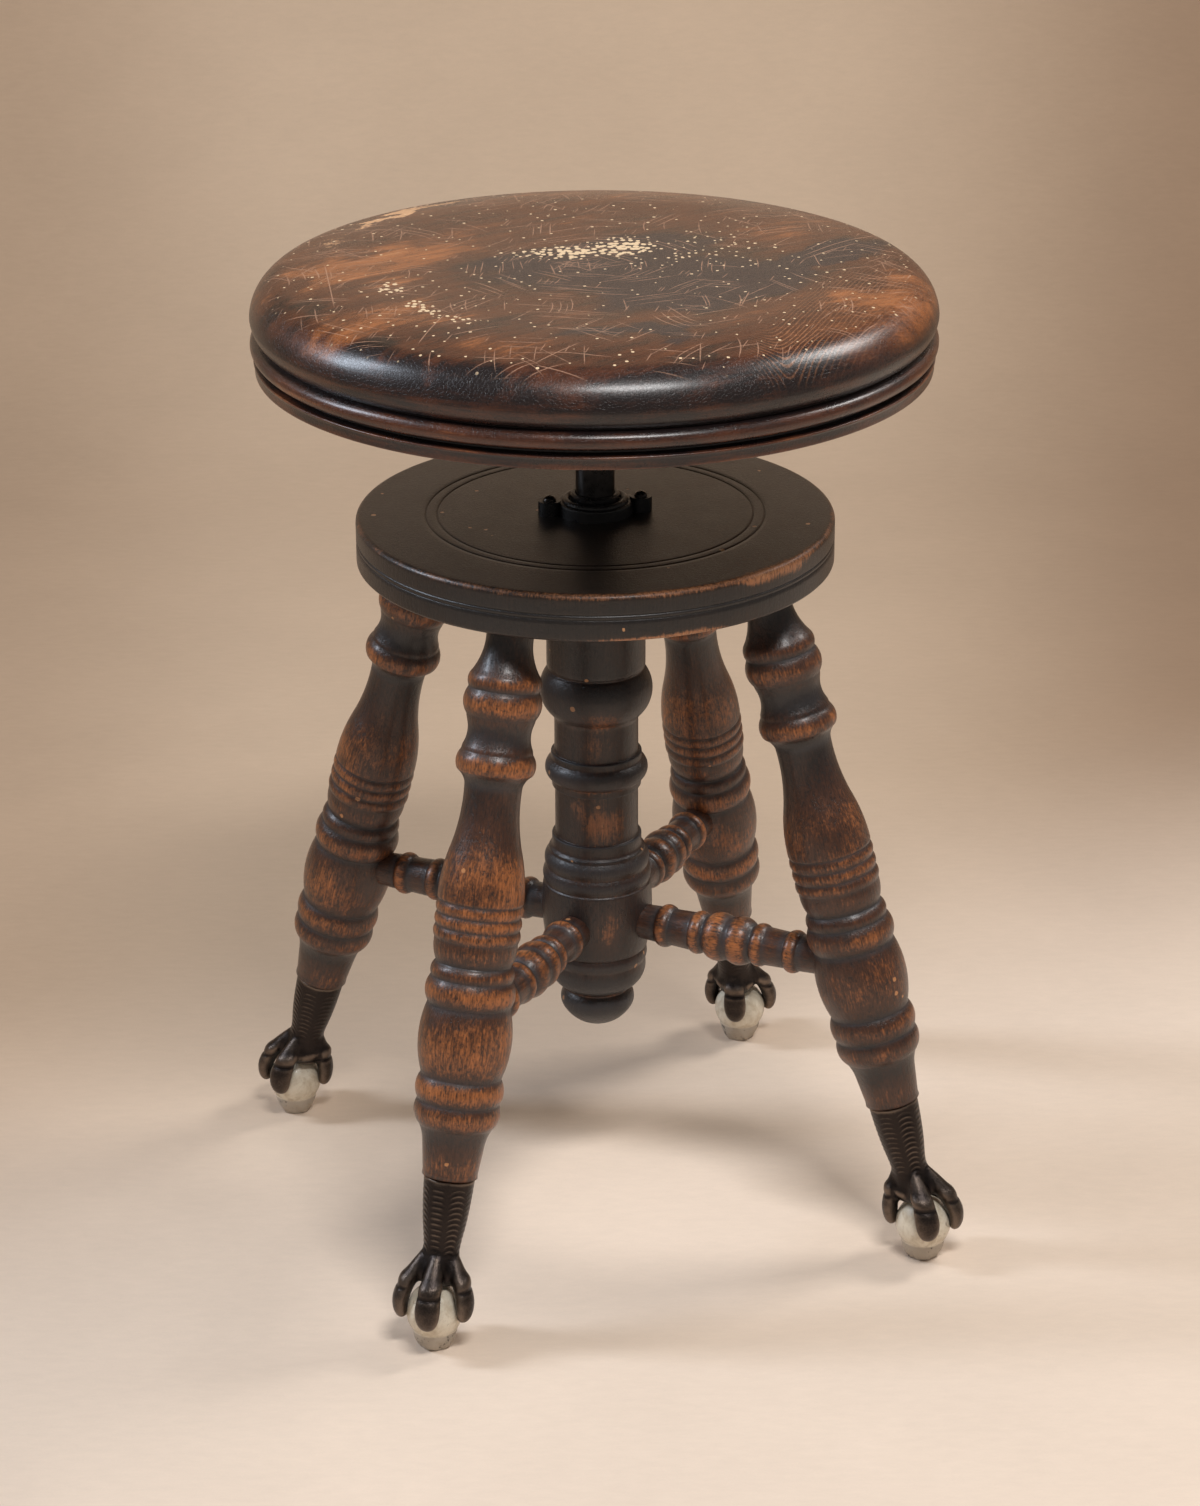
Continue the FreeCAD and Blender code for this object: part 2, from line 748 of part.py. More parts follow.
def make_leg(leg):
    body = new_body(f"{LEG_NAMES[leg]}_leg")
    outline = Outline(body)
    outline.start("0", "claw_top")
    outline.to("leg_rim_radius", "claw_top")
    outline.turning(LEG_TURNING)
    outline.to("leg_neck_radius", "(leg_axis_length) + leg_socket_depth")
    outline.to("0", "(leg_axis_length) + leg_socket_depth")
    outline.close()
    outline.revolve(body)
    doc.recompute()
    # The mortise is level, so in the leg's own frame it points inwards and down
    mortise = rod(body, "Subtractive", "Mortise", "stretcher_end_radius + socket_clearance",
                  "2 * stretcher_socket_in_leg",
                  x="-(leg_socket_floor) * cos(leg_lean)",
                  z="(stretcher_on_leg) + (leg_socket_floor) * sin(leg_lean)",
                  pitch="leg_lean - 90")
    body.Tip = mortise
    doc.recompute()
    screw_hole = Outline(body, name="ScrewHole")
    hole_radius = "foot_screw_radius + socket_clearance"
    screw_hole.start("0", "claw_top")
    screw_hole.to(hole_radius, "claw_top")
    screw_hole.to(hole_radius, "claw_top + foot_screw_in_leg - foot_screw_point")
    screw_hole.to("0", "claw_top + foot_screw_in_leg + socket_clearance")
    screw_hole.close()
    drilled = body.newObject("PartDesign::Groove", "Drilling")
    drilled.Profile = screw_hole.sketch
    drilled.ReferenceAxis = (screw_hole.sketch, ["V_Axis"])
    drilled.Angle = 360
    on_leg(body, leg)


def make_stretcher(leg):
    """The bar runs along its own axis from the floor of the post's mortise."""
    body = new_body(f"{LEG_NAMES[leg]}_stretcher")
    middle = "((stretcher_middle) - (stretcher_inner_end))"
    length = "((stretcher_outer_end) - (stretcher_inner_end))"

    def side(sign):
        """Points of one half of the bar, from its end to its middle, as seen from the middle."""
        def along(offset):
            return f"{middle} {sign} ({offset})"

        bead_start = "stretcher_outer_bead_offset + stretcher_outer_bead_length / 2"
        bead_end = "stretcher_outer_bead_offset - stretcher_outer_bead_length / 2"
        inner_start = "stretcher_inner_bead_offset + stretcher_inner_bead_length / 2"
        inner_end = "stretcher_inner_bead_offset - stretcher_inner_bead_length / 2"
        plain = f"{bead_start} + stretcher_plain_length"
        return [
            ("line", "stretcher_end_radius", along(plain)),
            ("line", "stretcher_taper_end", along(bead_start)),
            ("arc", "stretcher_taper_end", along(bead_end),
             "stretcher_bead_crown", along("stretcher_outer_bead_offset")),
            ("line", "stretcher_taper_start", along(inner_start)),
            ("arc", "stretcher_groove_radius", along(inner_end),
             "stretcher_bead_crown", along("stretcher_inner_bead_offset")),
            ("line", "stretcher_barrel_end", along(f"{inner_end} - stretcher_groove_length")),
            ("arc", "stretcher_fillet_radius", along("stretcher_fillet_length / 2"),
             "stretcher_barrel_crown",
             along(f"({inner_end} - stretcher_groove_length + stretcher_fillet_length) / 2")),
        ]

    def draw(stretches):
        for kind, radius, at, *crown in stretches:
            if kind == "line":
                outline.to(radius, at)
            else:
                outline.bulge(crown[0], crown[1], radius, at)

    def backwards(stretches):
        """The same half drawn from the middle to the end."""
        points = [("line", "stretcher_end_radius", length)] + stretches
        turned = []
        for number in range(len(points) - 1, 0, -1):
            kind, _, _, *crown = points[number]
            turned.append((kind, points[number - 1][1], points[number - 1][2], *crown))
        return turned

    outline = Outline(body)
    outline.start("0", "0")
    outline.to("stretcher_end_radius", "0")
    draw(side("-"))
    far_side = side("+")
    outline.to("stretcher_fillet_radius", far_side[-1][2])
    draw(backwards(far_side))
    outline.to("0", length)
    outline.close()
    outline.revolve(body)
    turn = leg_azimuth(leg)
    place(body, x=f"(stretcher_inner_end) * cos({turn})", y=f"(stretcher_inner_end) * sin({turn})",
          z="stretcher_height", yaw=turn, pitch="90")


def make_glass_ball(leg):
    body = new_body(f"{LEG_NAMES[leg]}_glass_ball")
    joint_height = "(ball_height - sqrt(ball_radius ^ 2 - stub_radius ^ 2))"
    outline = Outline(body)
    outline.start("0", "0")
    outline.to("stub_floor_radius", "0")
    outline.bulge("stub_middle_radius", f"{joint_height} / 2", "stub_radius", joint_height)
    outline.bulge("ball_radius", "ball_height", "0", "ball_height + ball_radius")
    outline.close()
    outline.revolve(body)
    turn = leg_azimuth(leg)
    place(body, x=f"(ball_circle) * cos({turn})", y=f"(ball_circle) * sin({turn})", yaw=turn)


def make_foot_screw(leg):
    body = new_body(f"{LEG_NAMES[leg]}_foot_screw")
    outline = Outline(body)
    outline.start("0", "claw_top - foot_screw_in_claw")
    outline.to("foot_screw_radius", "claw_top - foot_screw_in_claw")
    outline.to("foot_screw_radius", "claw_top + foot_screw_in_leg - foot_screw_point")
    outline.to("0", "claw_top + foot_screw_in_leg")
    outline.close()
    outline.revolve(body)
    on_leg(body, leg)


def talon_path(angle):
    """Centres and radii of a talon's round sections, seen from the floor under the ball.

    The upper sections lean back with the shank, more the higher they are.
    """
    stations = [(value(f"talon_{name}_reach"), value(f"talon_{name}_height"),
                 value(f"talon_{name}_radius"))
                for name in ("root", "back", "arch", "knuckle", "finger", "nail")]
    reach, height, _ = stations[-1]
    stations.append((reach - value("talon_tip_tuck"), height - value("talon_tip_drop"),
                     value("talon_tip_radius")))
    turn = math.radians(angle)
    ball_height = value("ball_height")
    root_rise = value("talon_root_height") - ball_height
    slope = math.tan(math.radians(value("leg_lean")))
    centres = []
    for reach, height, _ in stations:
        rise = max(height - ball_height, 0)
        lean_back = slope * rise * rise / root_rise
        centres.append(FreeCAD.Vector(reach * math.cos(turn) - lean_back,
                                      reach * math.sin(turn), height))
    return centres, [station[2] for station in stations]


def talon(angle):
    """A tapering finger with swollen knuckles, lofted through round sections."""
    centres, radii = talon_path(angle)
    sections = []
    for number, (centre, radius) in enumerate(zip(centres, radii)):
        ahead = centres[min(number + 1, len(centres) - 1)]
        behind = centres[max(number - 1, 0)]
        circle = Part.Circle(centre, ahead - behind, radius)
        sections.append(Part.Wire(circle.toShape()))
    return Part.makeLoft(sections, True, False)


def make_claw(leg):
    top = value("claw_top")
    lean = value("leg_lean")
    # The shank and palm are round about the leg's axis, which passes through the ball's middle
    points = [FreeCAD.Vector(value(f"claw_{name}_radius"), 0, top - value(f"claw_{name}_drop"))
              for name in ("calf", "shin", "ankle", "palm", "skirt")]
    points.insert(0, FreeCAD.Vector(value("claw_top_radius"), 0, top))
    side = Part.BSplineCurve()
    side.interpolate(points)
    floor = FreeCAD.Vector(0, 0, points[-1].z)
    crown = FreeCAD.Vector(0, 0, top)
    wire = Part.Wire([Part.makeLine(crown, points[0]), side.toShape(),
                      Part.makeLine(points[-1], floor), Part.makeLine(floor, crown)])
    shank = Part.Face(wire).revolve(FreeCAD.Vector(0, 0, 0), FreeCAD.Vector(0, 0, 1), 360)
    hole = Part.makeCylinder(value("foot_screw_radius + socket_clearance"),
                             value("foot_screw_in_claw + cut_overshoot"),
                             FreeCAD.Vector(0, 0, value("claw_top - foot_screw_in_claw")))
    axis_foot = FreeCAD.Vector(value("ball_height * tan(leg_lean)"), 0, 0)
    lean_turn = FreeCAD.Rotation(FreeCAD.Vector(0, 1, 0), -lean)
    for piece in (shank, hole):
        piece.Placement = FreeCAD.Placement(axis_foot, lean_turn)
    spread = value("talon_side_angle")
    talons = [talon(angle + value("talon_twist")) for angle in (0, spread, 180, -spread)]
    ball = Part.makeSphere(value("ball_radius + ball_clearance"),
                           FreeCAD.Vector(0, 0, value("ball_height")))
    shape = shank.fuse(talons).cut([ball, hole])
    claw = doc.addObject("Part::Feature", f"{LEG_NAMES[leg]}_claw_foot")
    claw.Label = f"{LEG_NAMES[leg]}_claw_foot"
    claw.Shape = shape.Solids[0] if len(shape.Solids) == 1 else shape
    turn = leg_azimuth(leg)
    place(claw, x=f"(ball_circle) * cos({turn})", y=f"(ball_circle) * sin({turn})", yaw=turn)


def thread_section(body, root_radius, crest_radius, root_half, crest_half, height):
    """The cross-section of one turn of thread, centred at a height."""
    outline = Outline(body, name="ThreadSection")
    outline.start(root_radius, f"{height} - ({root_half})")
    outline.to(crest_radius, f"{height} - ({crest_half})")
    outline.to(crest_radius, f"{height} + {crest_half}")
    outline.to(root_radius, f"{height} + {root_half}")
    outline.close()
    return outline.sketch


def helix(body, kind, section, length):
    """Sweep a thread's cross-section up a right-handed helix about the body's axis."""
    doc.recompute()
    turns = body.newObject(f"PartDesign::{kind}Helix", "Thread")
    turns.Profile = section
    turns.ReferenceAxis = (section, ["V_Axis"])
    turns.Mode = 0
    turns.setExpression("Pitch", sized("thread_pitch"))
    turns.setExpression("Height", sized(length))
    turns.LeftHanded = False
    body.Tip = turns
    return turns


def make_nut_flange():
    """The nut's barrel hangs below the flange; heights are from the top of the base."""
    body = new_body("nut_flange")
    ring_outer = "flange_ring_radius + flange_ring_width"
    ring_inner = "flange_ring_radius - flange_ring_width"
    outline = Outline(body)
    outline.start("nut_bore_radius", "-nut_depth")
    outline.to("nut_barrel_radius", "-nut_depth")
    outline.to("nut_barrel_radius", "0")
    outline.to("flange_radius", "0")
    outline.to("flange_radius", "flange_thickness - flange_edge")
    outline.bulge("flange_radius - flange_edge * (1 - cos(45))",
                  "flange_thickness - flange_edge * (1 - sin(45))",
                  "flange_radius - flange_edge", "flange_thickness")
    outline.to(ring_outer, "flange_thickness")
    outline.bulge("flange_ring_radius", "flange_thickness + flange_ring_height",
                  ring_inner, "flange_thickness")
    outline.to("hub_foot_radius", "flange_thickness")
    outline.to("hub_foot_radius", "hub_height - (hub_foot_radius - hub_top_radius)")
    outline.to("hub_top_radius", "hub_height")
    outline.to("hub_mouth_radius", "hub_height")
    outline.to("hub_mouth_radius", "hub_mouth_floor")
    outline.to("nut_bore_radius", "(hub_mouth_floor) - (hub_mouth_radius) + (nut_bore_radius)")
    outline.close()
    outline.revolve(body)
    doc.recompute()
    lug = rod(body, "Additive", "Lug", "lug_radius", "lug_height",
              x="lug_circle * cos(lug_azimuth)", y="lug_circle * sin(lug_azimuth)")
    repeat(body, [lug], 2)
    doc.recompute()
    hole = rod(body, "Subtractive", "LugHole", "wood_screw_radius + screw_hole_clearance",
               "lug_height + 2 * cut_overshoot", x="lug_circle * cos(lug_azimuth)",
               y="lug_circle * sin(lug_azimuth)", z="-cut_overshoot")
    repeat(body, [hole], 2)
    section = thread_section(body, "thread_core_radius", "thread_radius + thread_clearance",
                             "thread_root_half + thread_clearance",
                             "thread_crest_half + thread_clearance",
                             "-(nut_depth + thread_pitch)")
    # The groove runs out above the mouth's floor, so the screw's thread clears its slope
    helix(body, "Subtractive", section, "nut_depth + 3 / 2 * thread_pitch + (hub_mouth_floor)")
    place(body, z="base_top_height")


def make_lift_screw():
    """Heights are from the screw's shoulder, which bears on the spider's hub."""
    body = new_body("lift_screw")

    def below(height):
        return f"({height}) - (spider_bottom)"

    tenon_top = "spider_height - wood_screw_head_height"
    shank_foot = "-(shank_length + hub_mouth_depth - washer_play)"
    outline = Outline(body)
    outline.start("0", below("retainer_top"))
    outline.to("spigot_radius", below("retainer_top"))
    outline.to("spigot_radius", below("core_bottom"))
    outline.to("thread_core_radius", below("core_bottom"))
    outline.to("thread_core_radius", shank_foot)
    outline.to("thread_radius", shank_foot)
    outline.to("thread_radius", "0")
    outline.to("screw_tenon_radius", "0")
    outline.to("screw_tenon_radius", f"{tenon_top} - screw_head_chamfer")
    outline.to("screw_tenon_radius - screw_head_chamfer", tenon_top)
    outline.to("0", tenon_top)
    outline.close()
    outline.revolve(body)
    doc.recompute()
    rod(body, "Subtractive", "RetainerHole", "retainer_shank_radius + socket_clearance",
        "retainer_shank_length + cut_overshoot", z=f"({below('retainer_top')}) - cut_overshoot")
    section = thread_section(body, "thread_core_radius - thread_clearance", "thread_radius",
                             "thread_root_half", "thread_crest_half", below("thread_start"))
    helix(body, "Additive", section, f"({shank_foot}) - ({below('thread_start')})")
    place(body, z="spider_bottom")


def make_stop_washer():
    body = new_body("stop_washer")
    bore = "spigot_radius + washer_play"
    outline = Outline(body)
    outline.start(bore, "0")
    outline.to("washer_radius", "0")
    outline.to("washer_radius", "washer_thickness")
    outline.to(bore, "washer_thickness")
    outline.close()
    outline.revolve(body)
    place(body, z="washer_underside")


def make_washer_screw():
    body = new_body("washer_screw")
    outline = Outline(body)
    outline.start("0", "-retainer_thickness")
    outline.to("retainer_radius", "-retainer_thickness")
    outline.to("retainer_radius", "0")
    outline.to("retainer_shank_radius", "0")
    outline.to("retainer_shank_radius", "retainer_shank_length")
    outline.to("0", "retainer_shank_length")
    outline.close()
    outline.revolve(body)
    doc.recompute()
    slot = block(body, "Subtractive", "Slot",
                 ("2 * (retainer_radius + cut_overshoot)", "retainer_slot_width",
                  "wood_screw_slot_depth + cut_overshoot"),
                 x="-retainer_radius - cut_overshoot", y="-retainer_slot_width / 2",
                 z="-retainer_thickness - cut_overshoot")
    body.Tip = slot
    place(body, z="retainer_top")


def make_seat():
    """Heights are from the seat's underside."""
    body = new_body("seat")
    outline = Outline(body)
    outline.start("0", "0")
    outline.to("seat_chamfer_start", "0")
    outline.turning([
        ("line", "seat_band_radius", "seat_chamfer"),
        ("line", "seat_band_radius", "seat_band_height"),
        ("line", "seat_lip_radius", "seat_lip_slope"),
        ("line", "seat_lip_radius", "seat_lip_height"),
        ("line", "seat_lip_groove_radius", "seat_lip_groove_slope"),
        ("line", "seat_lip_groove_radius", "seat_lip_groove_height"),
        ("line", "seat_bead_edge", "seat_bead_slope"),
        ("arc", "seat_bead_edge", "seat_bead_height", "seat_bead_crown"),
        ("line", "seat_bead_groove_radius", "seat_bead_groove_height"),
        ("line", "seat_nose_edge", "seat_nose_slope"),
        ("arc", "seat_nose_radius", "seat_nose_under_height", "seat_nose_under_crown"),
        ("arc", "seat_shoulder_radius", "seat_nose_over_height", "seat_nose_over_crown"),
        ("arc", "seat_flat_radius", "seat_fall_height", "seat_fall_crown"),
        ("step", "0"),
    ])
    outline.close()
    outline.revolve(body)
    doc.recompute()
    holes = [rod(body, "Subtractive", "ScrewHole", "wood_screw_radius + socket_clearance",
                 "wood_screw_length - spider_plate_thickness + cut_overshoot", x=circle,
                 z="-cut_overshoot")
             for circle in ("arm_inner_screw_circle", "arm_outer_screw_circle")]
    repeat(body, holes, LEG_COUNT)
    place(body, z="seat_underside", yaw="arm_azimuth")


def make_seat_spider():
    """A hub with four flat arms; heights are down from the seat's underside."""
    body = new_body("seat_spider")
    plate = "-spider_plate_thickness"
    bore = "screw_tenon_radius + socket_clearance"
    outline = Outline(body)
    outline.start(bore, "-spider_height")
    outline.to("spider_hub_radius", "-spider_height")
    outline.to("spider_hub_radius", "-spider_plate_thickness - spider_cone_height")
    outline.to("spider_plate_radius", plate)
    outline.to("spider_plate_radius", "0")
    outline.to(bore, "0")
    outline.close()
    outline.revolve(body)
    doc.recompute()
    half = "arm_width / 2"
    pieces = [
        block(body, "Additive", "Arm", (f"arm_reach - {half} - spider_hub_radius", "arm_width",
                                        "spider_plate_thickness"),
              x="spider_hub_radius", y=f"-{half}", z=plate),
        rod(body, "Additive", "ArmEnd", half, "spider_plate_thickness",
            x=f"arm_reach - {half}", z=plate),
        block(body, "Additive", "Rib", ("arm_rib_reach - spider_hub_radius", "arm_rib_width",
                                        "arm_rib_depth + cut_overshoot"),
              x="spider_hub_radius - cut_overshoot", y="-arm_rib_width / 2",
              z="-spider_plate_thickness - arm_rib_depth"),
    ]
    repeat(body, pieces, LEG_COUNT)
    doc.recompute()
    holes = [rod(body, "Subtractive", "ArmHole", "wood_screw_radius + screw_hole_clearance",
                 "spider_plate_thickness + 2 * cut_overshoot", x=circle,
                 z="-spider_plate_thickness - cut_overshoot")
             for circle in ("arm_inner_screw_circle", "arm_outer_screw_circle")]
    repeat(body, holes, LEG_COUNT)
    place(body, z="seat_underside", yaw="arm_azimuth")


def wood_screw(name, **where):
    """A slotted round head above the surface it holds, and a pointed shank below it."""
    body = new_body(name)
    outline = Outline(body)
    outline.start("0", "-wood_screw_length")
    outline.to("wood_screw_radius", "wood_screw_point - wood_screw_length")
    outline.to("wood_screw_radius", "0")
    outline.to("wood_screw_head_radius", "0")
    outline.to("wood_screw_head_radius", "wood_screw_head_rim")
    outline.bulge("wood_screw_head_shoulder_radius", "wood_screw_head_shoulder_height",
                  "0", "wood_screw_head_height")
    outline.close()
    outline.revolve(body)
    doc.recompute()
    slot = block(body, "Subtractive", "Slot",
                 ("2 * (wood_screw_head_radius + cut_overshoot)", "wood_screw_slot_width",
                  "wood_screw_slot_depth + cut_overshoot"),
                 x="-wood_screw_head_radius - cut_overshoot", y="-wood_screw_slot_width / 2",
                 z="wood_screw_head_height - wood_screw_slot_depth")
    body.Tip = slot
    place(body, **where)
    return body


def screw_set(label, screws):
    group = doc.addObject("Part::Compound", label)
    group.Label = label
    group.Links = screws


def make_flange_screws():
    screws = []
    for number in range(2):
        turn = f"(lug_azimuth + {number * 180})"
        screws.append(wood_screw(f"flange_screw_{number + 1}", x=f"lug_circle * cos({turn})",
                                 y=f"lug_circle * sin({turn})",
                                 z="(base_top_height) + lug_height",
                                 yaw=f"flange_screw_turn + {number} * flange_screw_turn_step"))
    screw_set("flange_screws", screws)


def make_spider_screws():
    screws = []
    for arm in range(LEG_COUNT):
        turn = f"(arm_azimuth + {arm * 360 // LEG_COUNT})"
        for ring, circle in enumerate(("arm_inner_screw_circle", "arm_outer_screw_circle")):
            screws.append(wood_screw(f"arm_screw_{arm + 1}_{ring + 1}",
                                     x=f"{circle} * cos({turn})", y=f"{circle} * sin({turn})",
                                     z="(seat_underside) - spider_plate_thickness",
                                     yaw=f"{arm} * arm_screw_turn_step"
                                         f" + {ring} * arm_screw_ring_turn",
                                     pitch="180"))
    screw_set("spider_screws", screws)


def check(labels):
    """Stop if anything failed or a sub-part isn't a sound solid."""
    failed = [thing.Label for thing in doc.Objects
              if "Invalid" in thing.State or "Error" in thing.State]
    if failed:
        raise RuntimeError("failed: " + ", ".join(failed))
    for label in labels:
        shape = doc.getObjectsByLabel(label)[0].Shape
        if shape.isNull() or not shape.isValid() or not shape.Solids:
            raise RuntimeError(f"{label} is not a sound solid")


make_base_top()
make_centre_post()
for leg in range(LEG_COUNT):
    make_leg(leg)
    make_stretcher(leg)
    make_claw(leg)
    make_glass_ball(leg)
    make_foot_screw(leg)
make_nut_flange()
make_flange_screws()
make_lift_screw()
make_stop_washer()
make_washer_screw()
make_seat()
make_seat_spider()
make_spider_screws()
doc.recompute()

LABELS = ["base_top", "centre_post", "nut_flange", "flange_screws", "lift_screw", "stop_washer",
          "washer_screw", "seat", "seat_spider", "spider_screws"]
for leg_name in LEG_NAMES.values():
    for piece in ("leg", "stretcher", "claw_foot", "glass_ball", "foot_screw"):
        LABELS.append(f"{leg_name}_{piece}")
check(LABELS)
os.makedirs("parts", exist_ok=True)
for label in LABELS:
    shape = doc.getObjectsByLabel(label)[0].Shape
    shape.exportStep(f"parts/{label}.step")
    box = shape.BoundBox
    print(f"{label}: {len(shape.Solids)} solids, {shape.Volume:.0f} mm3, "
          f"z {box.ZMin:.1f} to {box.ZMax:.1f}")
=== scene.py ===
import math

import bpy
import numpy as np
from mathutils import Matrix


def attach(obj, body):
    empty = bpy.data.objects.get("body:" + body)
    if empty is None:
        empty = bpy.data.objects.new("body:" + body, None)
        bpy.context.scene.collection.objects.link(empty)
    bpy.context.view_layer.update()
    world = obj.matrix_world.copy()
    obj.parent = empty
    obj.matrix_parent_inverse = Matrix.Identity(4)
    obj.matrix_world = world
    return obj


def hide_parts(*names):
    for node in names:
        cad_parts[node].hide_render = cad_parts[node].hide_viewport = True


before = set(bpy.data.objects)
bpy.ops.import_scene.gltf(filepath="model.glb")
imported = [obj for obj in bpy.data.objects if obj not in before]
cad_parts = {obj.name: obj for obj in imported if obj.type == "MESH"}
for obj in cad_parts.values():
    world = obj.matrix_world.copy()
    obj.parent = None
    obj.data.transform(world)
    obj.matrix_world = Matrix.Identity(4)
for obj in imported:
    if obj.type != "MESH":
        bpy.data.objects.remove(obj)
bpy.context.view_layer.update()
print("frame loaded")

mm = 0.001

# Sizes that several pieces share, in millimetres and degrees
stand = {"lean": 15.7, "socketCircle": 96.95, "baseUnderside": 375.5, "firstLeg": 225,
         "legCount": 4, "stretcherHeight": 167.0, "seatTop": 535.0}

# How far a leg goes outwards for each millimetre downwards
slope = math.tan(math.radians(stand["lean"]))

legNames = ["front_left", "front_right", "back_right", "back_left"]

# Detail finer than this, in millimetres, is drawn by a material's bump instead of the mesh
finest = 0.3


# Placing

def turnAbout(axis, degrees):
    return np.array(Matrix.Rotation(math.radians(degrees), 4, axis))


def moved(x, y, z):
    place = np.eye(4)
    place[:3, 3] = np.array([x, y, z]) * mm
    return place


def legAzimuth(leg):
    return stand["firstLeg"] + leg * 360 / stand["legCount"]


# How far a leg's own axis stands from the middle at a height
def legCircle(height):
    return stand["socketCircle"] + (stand["baseUnderside"] - height) * slope


# Where a leg's own axis stands: from the floor, leaning in towards the base
def legPlace(leg):
    return (turnAbout("Z", legAzimuth(leg)) @ moved(legCircle(0), 0, 0)
            @ turnAbout("Y", -stand["lean"]))


# On the floor under a leg's ball, upright
def ballPlace(leg):
    return turnAbout("Z", legAzimuth(leg)) @ moved(legCircle(ball["height"]), 0, 0)


def added(name, data):
    thing = bpy.data.objects.new(name, data)
    bpy.context.scene.collection.objects.link(thing)
    return thing


# A finished piece: the body that it moves with, what it stands for and its finish
def settle(thing, body, nodes, material):
    thing.data.materials.append(material)
    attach(thing, body)
    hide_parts(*nodes)


# Camera

camera = {"place": (-646.0, -1872.6, 1102.2), "turn": -19.09, "down": 22.99, "roll": -0.25,
          "lens": 94.98, "film": 36, "nearest": 0.05}


def addCamera():
    data = bpy.data.cameras.new("camera")
    data.lens = camera["lens"]
    data.sensor_width = camera["film"]
    data.clip_start = camera["nearest"]
    thing = added("camera", data)
    thing.matrix_world = Matrix(moved(*camera["place"]) @ turnAbout("Z", camera["turn"])
                                @ turnAbout("X", 90 - camera["down"])
                                @ turnAbout("Z", camera["roll"]))
    bpy.context.scene.camera = thing


# Geometry helpers

# Points of the circle through three points, from the first to the last: the centre is where the
# perpendicular bisectors meet, and the angle runs evenly from the first point's to the last's
def arcPoints(start, crown, end, spacing):
    (ax, ay), (bx, by), (cx, cy) = start, crown, end
    d = 2 * (ax * (by - cy) + bx * (cy - ay) + cx * (ay - by))
    a2, b2, c2 = ax * ax + ay * ay, bx * bx + by * by, cx * cx + cy * cy
    centre = np.array([(a2 * (by - cy) + b2 * (cy - ay) + c2 * (ay - by)) / d,
                       (a2 * (cx - bx) + b2 * (ax - cx) + c2 * (bx - ax)) / d])
    radius = math.dist(start, centre)
    first = math.atan2(ay - centre[1], ax - centre[0])
    middle = (math.atan2(by - centre[1], bx - centre[0]) - first) % (2 * math.pi)
    sweep = (math.atan2(cy - centre[1], cx - centre[0]) - first) % (2 * math.pi)
    if middle > sweep:
        sweep -= 2 * math.pi
    count = max(3, int(abs(sweep) * radius / spacing))
    angles = first + sweep * np.linspace(0, 1, count + 1)[1:]
    return centre + radius * np.stack([np.cos(angles), np.sin(angles)], 1)


# A turned outline as (radius, height) points: each row is a length along the axis, the radius at
# its end and, for an arc, the radius of its crown halfway along
def outlineOf(start, rows, direction=1):
    points = [np.array([start], float)]
    for length, radius, *crown in rows:
        r, z = points[-1][-1]
        end = (radius, z + direction * length)
        if crown:
            points.append(arcPoints((r, z), (crown[0], (z + end[1]) / 2), end, finest))
        else:
            points.append(np.array([end], float))
    return np.concatenate(points)


# The same line with its points evenly spaced: both coordinates are read off against the running
# length
def evened(points, spacing):
    steps = np.linalg.norm(np.diff(points, axis=0), axis=1)
    along = np.concatenate([[0], np.cumsum(steps)])
    count = max(4, int(along[-1] / spacing))
    at = np.linspace(0, along[-1], count + 1)
    return np.stack([np.interp(at, along, points[:, k]) for k in range(points.shape[1])], 1)


# Each value averaged with its neighbours under a bell curve that is sigma points wide
def softened(values, sigma):
    reach = int(3 * sigma) + 1
    bell = np.exp(-0.5 * (np.arange(-reach, reach + 1) / sigma) ** 2)
    bell /= bell.sum()
    padded = np.concatenate([np.repeat(values[:1], reach, 0), values,
                             np.repeat(values[-1:], reach, 0)])
    if values.ndim == 1:
        return np.convolve(padded, bell, "valid")
    return np.stack([np.convolve(padded[:, k], bell, "valid") for k in range(values.shape[1])], 1)


# Rows stay close where the outline bends and spread where it runs straight: between two kept
# rows, length / coarse + degrees of turning / turnStep adds up to one
def thinned(line, proud, coarse=4.0, turnStep=10.0):
    steps = np.diff(line, axis=0)
    heading = np.unwrap(np.arctan2(steps[:, 1], steps[:, 0]))
    share = np.linalg.norm(steps, axis=1) / coarse
    share[1:] += np.abs(np.degrees(np.diff(heading))) / turnStep
    total = np.concatenate([[0], np.cumsum(share)])
    kept = np.searchsorted(total, np.arange(0, total[-1], 1.0))
    kept = np.unique(np.concatenate([kept, [len(line) - 1]]))
    return line[kept], proud[kept]


# The outline with its corners worn round, and how proud each point stands in millimetres: its
# distance outwards from the same line softened over reach, above zero on crowns, below in grooves
def wornOutline(points, rounding=0.45, reach=3.5, coarse=4.0):
    line = evened(points, finest)
    first, last = line[:1].copy(), line[-1:].copy()
    line = np.concatenate([first, softened(line, rounding / finest)[1:-1], last])
    tangent = np.gradient(line, axis=0)
    tangent /= np.linalg.norm(tangent, axis=1)[:, None] + 1e-9
    away = line - softened(line, reach / finest)
    proud = away[:, 0] * tangent[:, 1] - away[:, 1] * tangent[:, 0]
    return thinned(line, proud, coarse)


